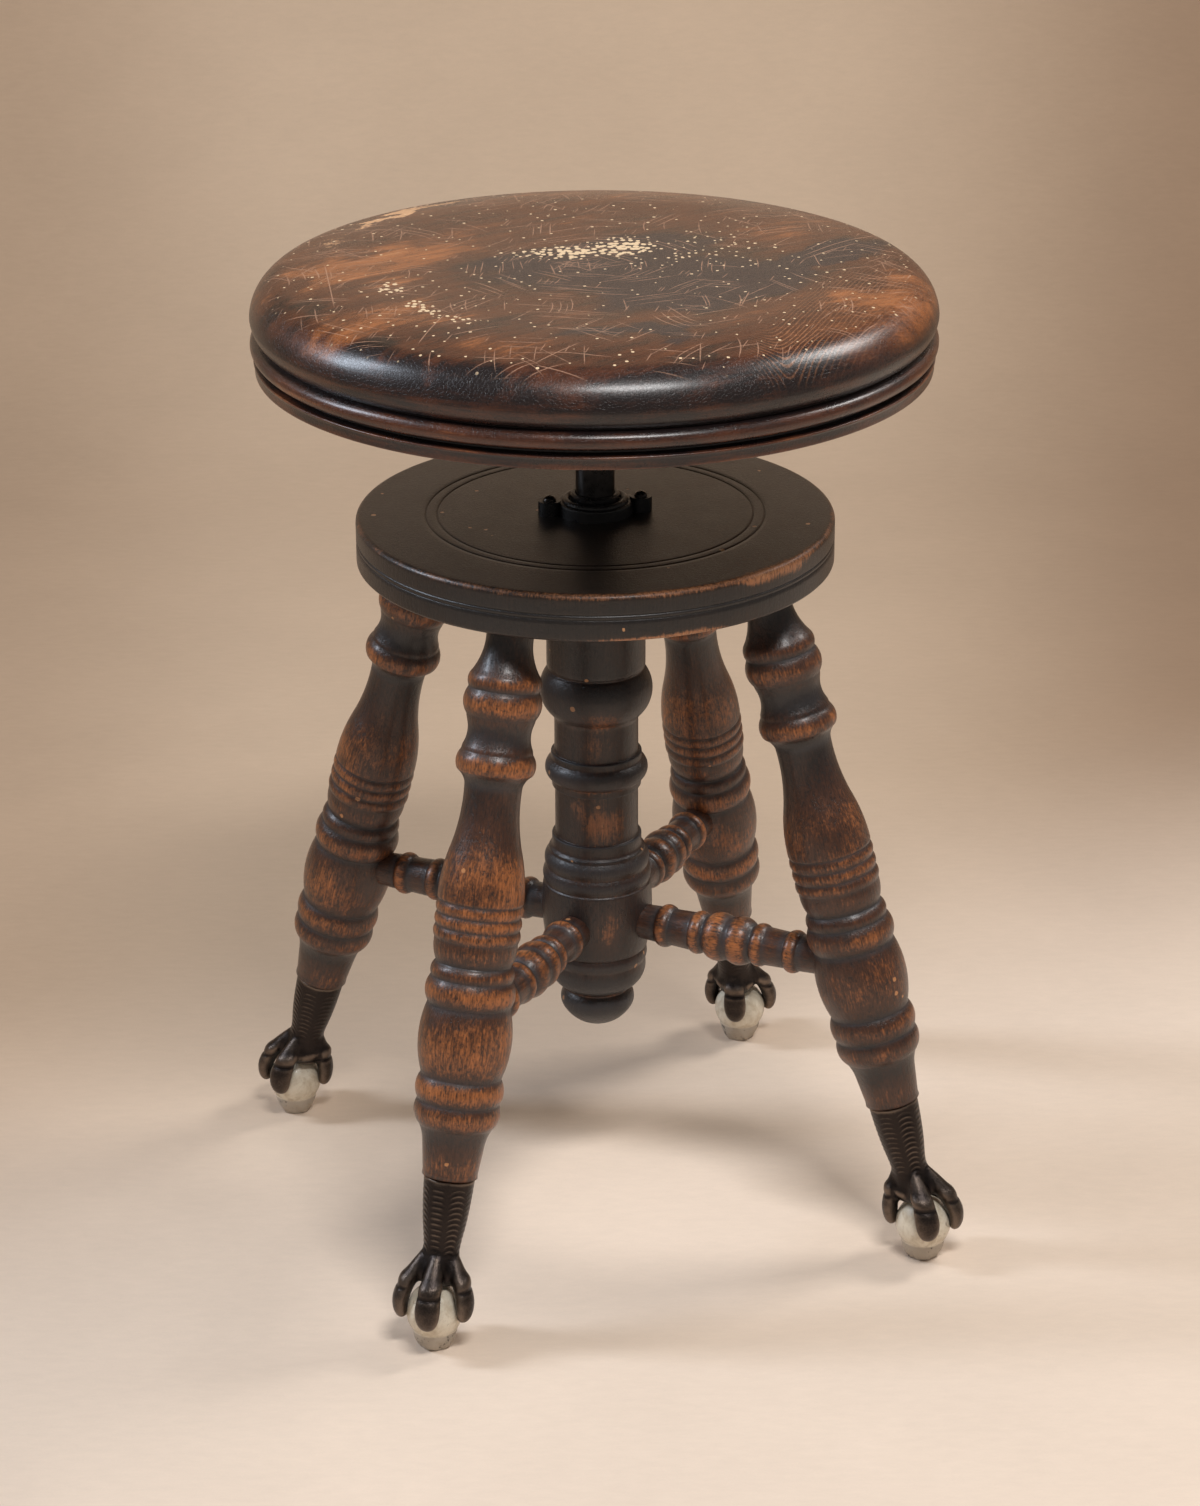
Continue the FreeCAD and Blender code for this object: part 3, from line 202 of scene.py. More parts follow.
# A mesh object from arrays of points and faces, with one attribute for each field
def meshFrom(name, places, faces, fields):
    mesh = bpy.data.meshes.new(name)
    mesh.from_pydata(places, [], faces)
    for field, values in fields.items():
        kind, slot = ("FLOAT_VECTOR", "vector") if np.ndim(values) == 2 else ("FLOAT", "value")
        mesh.attributes.new(field, kind, "POINT").data.foreach_set(
            slot, np.ascontiguousarray(values, np.float32).ravel())
    mesh.shade_smooth()
    mesh.update()
    return added(name, mesh)


# Faces of a row of rings of points, each joined to the next, with a fan at both ends to the two
# points that follow the rings. They face outwards if the rings run up and turn anticlockwise
def ringFaces(rows, columns, flipped=False):
    index = np.arange(rows * columns).reshape(rows, columns)
    after = np.roll(index, -1, 1)
    quads = np.stack([index[:-1], after[:-1], after[1:], index[1:]], 2).reshape(-1, 4)
    low = np.full(columns, rows * columns)
    fans = np.concatenate([np.stack([after[0], index[0], low], 1),
                           np.stack([index[-1], after[-1], low + 1], 1)])
    if flipped:
        quads, fans = quads[:, [0, 3, 2, 1]], fans[:, [1, 0, 2]]
    return quads.tolist() + fans.tolist()


# Wear on a turned piece against azimuth and height: an even amount, plus bell-shaped bands round
# it as (height, half height, amount) and bell-shaped patches as (azimuth, half angle, height,
# half height, amount), each exp(-(distance / half)^2)
def wearOver(turn, height, values, extra=0.0):
    total = np.full(turn.shape, values["wear"] + extra)
    for middle, half, amount in values["bands"]:
        total += amount * np.exp(-((height - middle) / half) ** 2)
    for azimuth, halfAngle, middle, half, amount in values["patches"]:
        away = (turn - azimuth + 180) % 360 - 180
        total += amount * np.exp(-(away / halfAngle) ** 2 - ((height - middle) / half) ** 2)
    return total


# A surface of revolution: each outline point goes round the axis as (r cos a, r sin a, z), and a
# point on the axis closes each end. grainShift moves the pattern, so that no two pieces match
def turnedPiece(name, line, proud, values, place=np.eye(4), extraWear=0.0, grainShift=0.0,
                waver=None):
    columns = values["columns"]
    angles = np.arange(columns) * 2 * math.pi / columns
    r, a = np.meshgrid(line[:, 0], angles, indexing="ij")
    z = np.repeat(line[:, 1:2], columns, 1)
    if waver is not None:
        r = r + waver(a, z)
    wear = wearOver(np.degrees(a), z, values, extraWear)
    own = np.stack([r * np.cos(a), r * np.sin(a), z], 2).reshape(-1, 3)
    faces = ringFaces(len(line), columns, flipped=line[0, 1] > line[-1, 1])
    own = np.concatenate([own, [[0, 0, line[0, 1]], [0, 0, line[-1, 1]]]]) * mm
    proud = np.concatenate([np.repeat(proud, columns), proud[[0, -1]]])
    wear = np.concatenate([wear.ravel(), [wear[0].mean(), wear[-1].mean()]])
    places = own @ place[:3, :3].T + place[:3, 3]
    return meshFrom(name, places, faces,
                    {"own": own + (grainShift, 0, 0), "proud": proud, "wear": wear})


# Material helpers

# The node tree that is being drawn, which newGroup and newMaterial start
drawing = {}


def join(output, socket):
    drawing["tree"].links.new(output, socket)


# A new node with its settings and inputs: an input is a value or another node's output
def put(kind, inputs=None, **settings):
    made = drawing["tree"].nodes.new("ShaderNode" + kind)
    for key, what in settings.items():
        setattr(made, key, what)
    for key, what in (inputs or {}).items():
        if isinstance(what, bpy.types.NodeSocket):
            join(what, made.inputs[key])
        else:
            made.inputs[key].default_value = what
    return made


def maths(operation, *values):
    return put("Math", dict(enumerate(values)), operation=operation).outputs[0]


def times(first, second):
    return maths("MULTIPLY", first, second)


def larger(first, second):
    return maths("MAXIMUM", first, second)


# Gives two outputs, of which the operation fills either the vector or the value
def vectors(operation, *values):
    return put("VectorMath", dict(enumerate(values)), operation=operation).outputs


# base plus each value times its weight
def weighted(base, *pairs):
    for value, weight in pairs:
        base = maths("MULTIPLY_ADD", value, weight, base)
    return base


def rgb(colour):
    return (*colour, 1) if isinstance(colour, tuple) and len(colour) == 3 else colour


def blendColour(factor, low, high, mode="MIX"):
    return put("Mix", {0: factor, 6: rgb(low), 7: rgb(high)}, data_type="RGBA",
               blend_type=mode).outputs[2]


# The colour made lighter or darker by a factor
def shaded(colour, factor):
    grey = put("CombineColor", {0: factor, 1: factor, 2: factor}).outputs[0]
    return blendColour(1.0, colour, grey, "MULTIPLY")


# A smooth step from start to end as the value goes from low to high
def between(value, low, high, start=0.0, end=1.0):
    return put("MapRange", {"Value": value, "From Min": low, "From Max": high, "To Min": start,
                            "To Max": end}, interpolation_type="SMOOTHSTEP").outputs[0]


# One colour turning into another as the value goes from low to high
def turning(first, second, value, low, high):
    return blendColour(between(value, low, high), first, second)


# Places as seen from a point of the piece, turned about Z and measured in size; millimetres
def locally(place, size, turn=0.0, centre=(0, 0, 0)):
    return put("Mapping", {"Vector": place, "Location": [c * mm for c in centre],
                           "Rotation": (0, 0, math.radians(turn)),
                           "Scale": [s * mm for s in size]}, vector_type="TEXTURE").outputs[0]


# Noise from about -1 to 1 whose features have the given size in millimetres
def cloudy(place, size, detail=3.0, roughness=0.6, turn=0.0, distortion=0.0):
    made = put("TexNoise", {
        "Vector": locally(place, size, turn), "Scale": 1.0, "Detail": detail,
        "Roughness": roughness, "Distortion": distortion})
    return maths("MULTIPLY_ADD", made.outputs["Fac"], 4.0, -2.0)


# Places pushed about by noise: along each axis by reach times its value, from 0 to 1, less middle
def drifted(place, size, turn, detail, reach, middle=0.0):
    noise = put("TexNoise", {"Vector": locally(place, size, turn), "Scale": 1.0,
                             "Detail": detail}).outputs["Color"]
    push = vectors("SUBTRACT", noise, (middle,) * 3)[0]
    return vectors("MULTIPLY_ADD", push, (reach * mm,) * 3, place)[0]


# Cells of the given size: distance from each one's middle, and two random numbers for each
def cells(place, size, turn=0.0, dimensions="3D", feature="F1"):
    made = put("TexVoronoi", {"Vector": locally(place, size, turn), "Scale": 1.0},
               voronoi_dimensions=dimensions, feature=feature)
    if feature != "F1":
        return made.outputs["Distance"]
    chance = put("SeparateColor", {0: made.outputs["Color"]}).outputs
    return made.outputs["Distance"], chance[0], chance[1]


# So tall in millimetres that a flat pattern hardly changes with height
anyHeight = 1000


# Soft-edged ellipses on the XY plane, added up: x, y, half length, half width, turn, strength
def zones(place, rows, height, start=1.25, end=0.35):
    total = 0.0
    for x, y, halfLength, halfWidth, turn, strength in rows:
        local = locally(place, (halfLength, halfWidth, anyHeight), turn, (x, y, height))
        far = vectors("LENGTH", local)["Value"]
        total = weighted(total, (between(far, start, end), strength))
    return total


# A node group whose sockets are made from names and kinds; gives what its start puts out and its
# end
def newGroup(name, inputs, outputs):
    tree = drawing["tree"] = bpy.data.node_groups.new(name, "ShaderNodeTree")
    kinds = {"value": "NodeSocketFloat", "vector": "NodeSocketVector", "colour": "NodeSocketColor"}
    for way, sockets in (("INPUT", inputs), ("OUTPUT", outputs)):
        for socket, kind in sockets.items():
            tree.interface.new_socket(socket, in_out=way, socket_type=kinds[kind])
    return tree.nodes.new("NodeGroupInput").outputs, tree.nodes.new("NodeGroupOutput")


def newMaterial(name, **shader):
    material = bpy.data.materials.new(name)
    material.use_nodes = True
    drawing["tree"] = material.node_tree
    principled = material.node_tree.nodes["Principled BSDF"]
    for key, what in shader.items():
        principled.inputs[key.replace("_", " ")].default_value = what
    return material, principled


# Joins the colour, roughness and bump of a finish to its shader
def finish(principled, colour, roughness, height, relief):
    join(colour, principled.inputs["Base Color"])
    join(roughness, principled.inputs["Roughness"])
    bump = put("Bump", {"Height": height, "Distance": relief * mm})
    join(bump.outputs["Normal"], principled.inputs["Normal"])


def ownPlace():
    return put("Attribute", attribute_name="own").outputs["Vector"]


def heightOf(place):
    return put("SeparateXYZ", {0: place}).outputs[2]


def ownValue(name):
    return put("Attribute", attribute_name=name).outputs["Fac"]


# Aged wood: the sizes of its features in millimetres, and the colour of the dust in its grooves
aged = {"cloud": (17, 17, 26), "fleck": (1.7, 1.7, 2.9), "grain": (1.1, 1.1, 18),
        "pore": (0.7, 0.7, 5), "chip": (7, 7, 7), "dust": (0.040, 0.037, 0.040)}


# One finish for the legs, stretchers, post and base. Wear, crowns, clouds and flecks add up to one
# amount, which takes the colour from dark stain over brown to bright rubbed wood and bare wood. The
# grain runs along the piece's own Z. Small round chips show bare wood, and grooves hold dust
def agedWoodGroup():
    given, result = newGroup(
        "aged wood",
        {"Place": "vector", "Proud": "value", "Wear": "value", "Crowns": "value",
         "Chips": "value", "Dark": "colour", "Brown": "colour", "Bright": "colour",
         "Bare": "colour"},
        {"Colour": "colour", "Roughness": "value", "Height": "value"})
    own = given["Place"]
    cloud = cloudy(own, aged["cloud"])
    fleck = cloudy(own, aged["fleck"], 4, 0.72)
    grain = cloudy(own, aged["grain"], 3)
    pore = cloudy(own, aged["pore"], 2)
    total = weighted(given["Wear"], (given["Proud"], given["Crowns"]), (cloud, 0.40),
                     (fleck, 0.50))
    streaked = weighted(total, (grain, 0.25))
    worn = between(streaked, 0.0, 1.15)
    colour = turning(given["Dark"], given["Brown"], total, -1.3, 0.2)
    colour = blendColour(worn, colour, given["Bright"])
    colour = turning(colour, given["Bare"], streaked, 1.1, 2.4)
    colour = shaded(colour, between(grain, -1.1, 1.1, 0.72, 1.25))
    crackle = times(between(fleck, -0.2, -0.75), 0.7)
    pores = larger(crackle, times(between(pore, 0.2, 0.8), 0.85))
    colour = blendColour(pores, colour, given["Dark"])
    far, chance, size = cells(own, aged["chip"])
    edge = weighted(far, (fleck, 0.06), (size, -0.16))
    chip = times(between(edge, 0.09, 0.05), maths("LESS_THAN", chance, given["Chips"]))
    colour = blendColour(chip, colour, given["Bare"])
    dusty = times(between(given["Proud"], -0.1, -0.5), 0.45)
    colour = blendColour(dusty, colour, aged["dust"])
    rough = weighted(0.34, (fleck, 0.05), (cloud, 0.03), (worn, 0.08), (dusty, 0.3))
    height = weighted(0.0, (fleck, 0.35), (grain, 0.12), (worn, -0.35), (chip, -1.2),
                      (pores, -0.35))
    for socket, what in (("Colour", colour), ("Roughness", rough), ("Height", height)):
        join(what, result.inputs[socket])
    return drawing["tree"]


def woodMaterial(name, values, group):
    material, principled = newMaterial(name, Coat_Weight=values["gloss"], Coat_Roughness=0.2)
    made = put("Group", {
        "Place": ownPlace(), "Proud": ownValue("proud"), "Wear": ownValue("wear"),
        "Crowns": values["crowns"], "Chips": values["chips"],
        **{key.title(): rgb(values[key]) for key in ("dark", "brown", "bright", "bare")}
    }, node_tree=group).outputs
    finish(principled, made["Colour"], made["Roughness"], made["Height"], values["relief"])
    return material


# Legs

legTurning = {
    "foot": (14.7, 94.3),
    "rows": [
        (2, 14.5), (14.7, 16.3), (10, 19.2, 17.2),  # cuff and its flare
        (13.4, 21.4, 22.6), (13.7, 21, 23.2),  # two low rings
        (38, 21.6, 24.5),  # barrel
        (14.1, 21.3, 23.7), (7.8, 19.6, 21.9),  # collar and its ring
        (12.4, 21.7, 21.6), (6.7, 21.7, 22.8), (6.7, 21.7, 22.8), (6.7, 21.7, 22.8),
        (1, 22.5), (26.5, 18.6, 21.55), (33.8, 15, 15.4),  # vase
        (6.7, 19.7, 16.4), (10.5, 18.6, 20.8), (2, 18.4),  # ring under the cove
        (14.5, 17.6, 16.4), (2, 17.9), (14.2, 18.2, 20.4), (8.6, 17.3, 19.2),
        (15.7, 12.2, 13.7), (14.05 + 17, 12.2),  # trumpet and neck
    ],
    "columns": 128, "gloss": 0.2, "crowns": 0.75, "chips": 0.05, "relief": 0.22,
    "dark": (0.012, 0.009, 0.009), "brown": (0.070, 0.027, 0.014),
    "bright": (0.37, 0.125, 0.036), "bare": (0.50, 0.22, 0.085),
    "wear": -0.25,
    "bands": [
        (99, 9, 0.5), (116, 6, -0.35), (127.5, 5, 0.3), (141, 5.5, 0.45), (165, 15, 0.5),
        (193, 5, 0.5), (214, 5, 0.2), (230, 10, 0.5), (256, 18, 0.55), (294, 13, -0.4),
        (313, 4.5, 0.5), (328, 7, -0.7), (344.5, 5, 0.45), (356, 3, 0.2), (376, 14, -0.7),
    ],
    "patches": [(70, 60, 165, 26, 0.3), (60, 50, 250, 20, 0.3), (200, 40, 260, 18, 0.25)],
    "extra": {"front_left": 0.12, "front_right": -0.18, "back_right": 0.0, "back_left": -0.12},
}


def makeLegs(material):
    line, proud = wornOutline(outlineOf(legTurning["foot"], legTurning["rows"]))
    for leg, name in enumerate(legNames):
        thing = turnedPiece(f"{name}_leg_turned", line, proud, legTurning, legPlace(leg),
                            legTurning["extra"][name], 0.3 * leg)
        settle(thing, "base", [f"{name}_leg"], material)


# Stretchers

stretcher = {
    "postSurface": 30.1, "socket": 12, "legBarrel": 24.5,
    "endRadius": 9.6, "taperEnd": 10, "taperStart": 10.5, "beadCrown": 11.9, "grooveRadius": 9.9,
    "barrelCrown": 13.4, "barrelEnd": 10.6, "filletRadius": 12, "fillet": 2.4,
    "outerBead": (38, 8), "innerBead": (18, 7.6), "groove": 1.2, "plain": 8, "columns": 88,
    "wear": 0.0, "bands": [(28, 22, -0.5)], "patches": [],
}


# Radius against distance from the bar's middle, out to its end
def stretcherHalf():
    s = stretcher
    legAxis = legCircle(stand["stretcherHeight"])
    middle = (s["postSurface"] + legAxis - s["legBarrel"]) / 2
    innerEnd = s["postSurface"] - s["socket"]
    outerEnd = legAxis - (s["legBarrel"] - s["socket"])
    innerAt, innerLength = s["innerBead"]
    outerAt, outerLength = s["outerBead"]
    inner = innerAt - innerLength / 2
    start = (s["filletRadius"], s["fillet"] / 2)
    rows = [
        (inner - s["groove"] - s["fillet"] / 2, s["barrelEnd"], s["barrelCrown"]),
        (s["groove"], s["grooveRadius"]),
        (innerLength, s["taperStart"], s["beadCrown"]),
        (outerAt - outerLength / 2 - innerAt - innerLength / 2, s["taperEnd"]),
        (outerLength, s["taperEnd"], s["beadCrown"]),
        (s["plain"], s["endRadius"]),
    ]
    half = np.concatenate([[(s["filletRadius"], 0)], outlineOf(start, rows)])
    return half, middle, innerEnd, outerEnd


def makeStretchers(material):
    half, middle, innerEnd, outerEnd = stretcherHalf()
    left = half[::-1] * (1, -1) + (0, middle)
    right = half[1:] + (0, middle)
    ends = [(stretcher["endRadius"], innerEnd)], [(stretcher["endRadius"], outerEnd)]
    line, proud = wornOutline(np.concatenate([ends[0], left, right, ends[1]]), 0.35)
    for leg, name in enumerate(legNames):
        place = (turnAbout("Z", legAzimuth(leg)) @ moved(0, 0, stand["stretcherHeight"])
                 @ turnAbout("Y", 90))
        thing = turnedPiece(f"{name}_stretcher_turned", line, proud * 1.3, stretcher, place,
                            grainShift=0.3 * leg + 0.15)
        settle(thing, "base", [f"{name}_stretcher"], material)


# Centre post

postTurning = {
    "top": (20, 390.5),
    "rows": [
        (15, 20), (0, 26.6), (61.5, 26.6), (2, 26.6, 25.8), (26, 23.5, 30.4),  # drum and bulb
        (2, 22.7), (19.6, 22.7), (0, 24.6), (3.9, 24.6), (12, 24.2, 27.9), (4, 24.2),
        (0, 22.6), (28.5, 22.6), (0, 24.4), (5.5, 24.4), (2.5, 26.2, 24.8), (1.5, 26.2),
        (9.2, 27.6, 28.6), (9.1, 28.4, 29.6), (0.6, 29.4),  # upper rings
        (38.6, 27.5, 30.1), (0.6, 26.2), (7.8, 26.3, 27.5), (16.7, 18.2, 26),  # barrel and cup
        (1.5, 17.5), (11, 19, 20.3), (10.8, 2.5, 14.6),  # button
    ],
    "columns": 160, "gloss": 0.1, "crowns": 0.6, "chips": 0.06, "relief": 0.2,
    "dark": (0.011, 0.010, 0.011), "brown": (0.040, 0.019, 0.013),
    "bright": (0.27, 0.100, 0.038), "bare": (0.45, 0.22, 0.10),
    "wear": -0.7,
    "bands": [(254, 5, 0.55), (202, 4, 0.35), (193, 4, 0.4), (144, 4, 0.25), (275, 6, 0.2)],
    "patches": [
        (257, 26, 292, 7, 1.7), (252, 34, 274, 7, 0.75), (262, 36, 228, 11, 1.9),
        (222, 12, 238, 5, 1.0), (262, 14, 170, 13, 1.15), (244, 60, 250, 3, 0.4),
        (75, 28, 294, 7, 1.5), (110, 36, 230, 10, 1.7), (18, 20, 234, 8, 1.3),
        (140, 26, 172, 12, 1.1), (340, 22, 165, 10, 0.9), (165, 25, 296, 6, 1.1),
    ],
}


def makePost(material):
    line, proud = wornOutline(outlineOf(postTurning["top"], postTurning["rows"], -1))
    thing = turnedPiece("centre_post_turned", line, proud, postTurning)
    settle(thing, "base", ["centre_post"], material)


# Round base

base = {
    "radius": 126.5, "thickness": 25, "edge": 3, "chamfer": 1.2, "lineWidth": 1.1,
    "lineDepth": 0.7, "sideLines": (11.5, 13.9), "rings": (89.5, 83.5), "hole": 14.6,
    "columns": 360, "gloss": 0.1, "crowns": 1.6, "chips": 0.045, "relief": 0.16,
    "dark": (0.013, 0.011, 0.011), "brown": (0.026, 0.016, 0.012),
    "bright": (0.40, 0.17, 0.075), "bare": (0.52, 0.27, 0.13),
    "wear": -1.05,
    "bands": [(375.5, 2.5, -0.6)],
    "patches": [
        (285, 50, 400.5, 4, 0.5), (297, 7, 396, 3.4, 1.2), (306, 5, 395, 3.6, 1.3),
        (291, 4, 396, 2.4, 1.0), (250, 60, 400, 3, 0.25), (262, 10, 376, 2, 1.6),
        (275, 7, 376.5, 2, 1.4), (288, 6, 380, 2.4, 0.8), (60, 30, 400.5, 4, 0.6),
        (120, 8, 396, 3.4, 1.2), (20, 6, 397, 3, 1.0),
    ],
}


# From the middle of the underside, round the rim, to the nut's hole on top
def baseOutline():
    b = base
    points = [(b["hole"], 0), (b["radius"] - b["chamfer"], 0), (b["radius"], b["chamfer"])]
    half = b["lineWidth"] / 2
    for height in b["sideLines"]:
        points += [(b["radius"], height - half), (b["radius"] - b["lineDepth"], height),
                   (b["radius"], height + half)]
    points.append((b["radius"], b["thickness"] - b["edge"]))
    quarter = np.linspace(0, math.pi / 2, 12)[1:]
    points += [(b["radius"] - b["edge"] * (1 - math.cos(a)),
                b["thickness"] - b["edge"] * (1 - math.sin(a))) for a in quarter]
    for radius in b["rings"]:
        points += [(radius + half, b["thickness"]), (radius, b["thickness"] - b["lineDepth"]),
                   (radius - half, b["thickness"])]
    points.append((b["hole"], b["thickness"]))
    return np.array(points) + (0, stand["baseUnderside"])


def makeBase(material):
    line, proud = wornOutline(baseOutline(), 0.3, 2.5)
    thing = turnedPiece("base_top_turned", line, proud, base)
    settle(thing, "base", ["base_top"], material)


# Seat

seat = {
    "underside": (4, 482.5),
    "rows": [
        (0, 172), (1, 176), (5, 176), (0.5, 176.7), (1, 176.7),  # band and lip
        (0.8, 171.5), (1.7, 171.5), (0.5, 174), (9, 174, 178.2),  # bead
        (0.7, 172), (0.6, 173.5), (8.7, 178, 176.9), (19.5, 158, 174.8),  # bullnose
        (3.5, 120, 146.9), (0, 4),
    ],
    "columns": 420, "wear": 0.0, "bands": [], "patches": [], "grainTurn": 14, "relief": 0.13,
    "dark": (0.012, 0.007, 0.007), "brown": (0.082, 0.025, 0.011),
    "orange": (0.34, 0.115, 0.036), "bright": (0.52, 0.24, 0.10), "tan": (0.66, 0.38, 0.20),
    "cream": (0.80, 0.60, 0.38), "middle": (0.019, 0.016, 0.021), "scratch": (0.46, 0.26, 0.17),
    # Areas on the top: x, y, half length, half width, turn, strength
    "darkAreas": [(2, 8, 88, 52, 8, 1), (44, -58, 76, 44, 16, 1), (-18, -120, 52, 13, -14, 0.8),
                  (120, -22, 58, 17, 33, 0.9), (-88, -88, 28, 10, 0, 0.5),
                  (-20, 150, 30, 10, 25, 0.5)],
    "orangeAreas": [(-128, 34, 62, 34, 12, 1), (-132, -52, 44, 22, 8, 0.9),
                    (138, -95, 66, 26, 58, 0.9), (-72, 56, 52, 18, 14, 0.6),
                    (40, 140, 90, 16, -8, 0.5), (108, 30, 40, 22, 20, 0.45),
                    (-88, -122, 46, 18, -8, 0.35), (96, -118, 40, 14, 40, 0.5)],
    "rimAreas": [(-130, -118, 80, 26, -48, 1.0), (0, -172, 110, 20, 0, 0.8),
                 (-165, 20, 60, 14, 88, 0.8), (120, 120, 90, 14, -42, 0.35)],
    "tanAreas": [(-78, 126, 34, 9, 33, 1), (-50, 143, 40, 7, 24, 1), (-118, 92, 26, 6, 45, 0.7)],
    "creamAreas": [(-5, 26, 19, 15, -19, 0.95), (-30, 34, 17, 8, -19, 0.6),
                   (25, 25, 17, 19, -19, 0.95), (50, 10, 62, 36, -19, 0.22),
                   (-110, -6, 15, 8, 85, 0.75), (-107, -42, 19, 7, -77, 0.7),
                   (-94, -70, 15, 6, -55, 0.5)],
    "hairAreas": [(142, -92, 70, 30, 60, 1)],
    # Scratches over the whole top: direction, cell length, cell width, share of cells, bend
    "strokes": [(8, 110, 2.3, 0.20, 2.5), (38, 90, 2.2, 0.20, 4), (74, 70, 2.4, 0.16, 4),
                (112, 100, 2.5, 0.14, 5), (150, 75, 2.2, 0.20, 3), (-28, 140, 2.6, 0.14, 6),
                (55, 34, 1.9, 0.15, 2)],
    # Long scratches seen in the photograph: from x, y to x, y
    "lines": [(40, -93, 65, -80), (44, -96, 58, -72), (-58, -97, -24, -120), (-80, -140, -49, -124),
              (-80, -140, -58, -161), (-124, -95, -97, -57), (-129, 54, -146, -27),
              (102, -25, 178, 25), (118, 56, 157, 64), (103, -29, 146, -4), (-30, -132, -8, -118)],
    "lineHalfWidth": 0.32, "strokeWave": (60, 60, 60),
    "hairStrokes": [(128, 60, 2.2, 0.3, 6), (20, 50, 2.2, 0.25, 5)],
    "flameTip": (39.7, -173.9), "flameTurn": -4, "flameSpread": 1.33, "flameSpacing": 3.6,
    "flameRound": 4.472, "flameSway": 1.6, "flame": (0.34, 0.145, 0.065),
    "flameAreas": [(96, -108, 84, 30, 47, 1.0), (48, -152, 30, 18, 40, 1.0)],
    # Sizes of the patterns' features, and the heights between which one gives way to the next
    "streakSize": (75, 6, 6), "fineSize": (14, 0.9, 0.9), "cloudSize": (42, 24, 24),
    "fleckSize": (2.4, 2.0, 2.0), "sideStreakSize": (34, 34, 3.2), "sideCloudSize": (60, 60, 40),
    "driftSize": (38, 26, 30), "driftReach": 70, "creamCell": (3.5, 4.3, 4), "creamTurn": -19,
    "nickCell": (8, 8, 8), "nickTurn": 10, "nickShare": 0.35, "crackCell": (1.8, 1.8, 1.8),
    "bodyTop": 524, "bodyBottom": 512, "marksTop": 531,
}


# Thin tapered strokes: cells drawn out along one direction, of which a share is kept
def strokesOf(place, rows):
    total = 0.0
    for turn, length, width, share, bend in rows:
        bent = drifted(place, seat["strokeWave"], turn, 1.0, 4 * bend)
        far, chance, size = cells(bent, (length, width, width), turn, "2D")
        line = between(weighted(far, (size, -0.06)), 0.13, 0.05)
        kept = maths("LESS_THAN", chance, share)
        total = larger(total, times(line, kept))
    return total


# Single straight strokes: near the line and between its ends
def linesOf(place, rows, half, height):
    total = 0.0
    for x1, y1, x2, y2 in rows:
        turn = math.degrees(math.atan2(y2 - y1, x2 - x1))
        local = locally(place, (math.hypot(x2 - x1, y2 - y1) / 2, half, anyHeight), turn,
                        ((x1 + x2) / 2, (y1 + y2) / 2, height))
        x, y, _ = put("SeparateXYZ", {0: local}).outputs
        line = times(between(maths("ABSOLUTE", y), 1.3, 0.4),
                     between(maths("ABSOLUTE", x), 1.0, 0.6))
        total = larger(total, line)
    return total


# Nested V-shaped lines of plain-sawn wood: the sine of 2 pi (y - spread sqrt(x^2 + tip^2) + sway)
# over spacing, where tip rounds the point of the V
def flameOf(place, sway):
    tip = (*seat["flameTip"], stand["seatTop"])
    local = locally(place, (1, 1, 1), seat["flameTurn"], tip)
    x, y, _ = put("SeparateXYZ", {0: local}).outputs
    rounded = maths("SQRT", maths("MULTIPLY_ADD", x, x, seat["flameRound"] ** 2))
    value = weighted(y, (rounded, -seat["flameSpread"]), (sway, seat["flameSway"]))
    return maths("SINE", times(value, 2 * math.pi / seat["flameSpacing"]))


# Cream flecks: in each cell a dot that grows with density, until they nearly join
def flecksOf(place, density):
    far, chance, size = cells(place, seat["creamCell"], seat["creamTurn"], "2D")
    radius = weighted(0.12, (density, 0.26), (size, 0.10))
    dot = between(maths("SUBTRACT", far, radius), 0.05, -0.05)
    kept = maths("LESS_THAN", chance, times(density, 1.15))
    return times(dot, kept)


# The top: one tone from dark over brown to orange and bright, greyed in the middle, with flame
# lines at the front right and bare wood at the back left. Gives the bare and greyed places too
def seatTop(own, streak, fine, cloud, fleck):
    s = seat
    top = stand["seatTop"]
    loose = drifted(own, s["driftSize"], s["grainTurn"], 3.0, s["driftReach"], 0.5)
    darkArea, orangeArea, rimArea, tanArea = (
        zones(loose, s[key], top)
        for key in ("darkAreas", "orangeAreas", "rimAreas", "tanAreas"))
    tone = weighted(0.0, (streak, 0.42), (cloud, 0.32), (fleck, 0.22), (fine, 0.16),
                    (orangeArea, 0.75), (darkArea, -0.55), (rimArea, -0.8))
    colour = turning(s["dark"], s["brown"], tone, -0.75, 0.15)
    colour = turning(colour, s["orange"], tone, 0.1, 1.15)
    colour = turning(colour, s["bright"], tone, 1.0, 1.9)
    greyed = between(weighted(darkArea, (streak, 0.22), (fleck, 0.12)), 0.35, 0.8)
    colour = blendColour(times(greyed, 0.85), colour, s["middle"])
    flame = between(weighted(flameOf(own, cloud), (fleck, 0.5)), 0.3, 1.1)
    lit = times(flame, times(zones(own, s["flameAreas"], top), 0.5))
    colour = blendColour(lit, colour, s["flame"])
    bare = between(weighted(-0.85, (tanArea, 1.05), (fine, 0.40), (fleck, 0.60),
                            (streak, 0.30)), 0.0, 0.3)
    colour = blendColour(bare, colour, s["tan"])
    return shaded(colour, between(fine, -1.2, 1.2, 0.78, 1.2)), bare, greyed


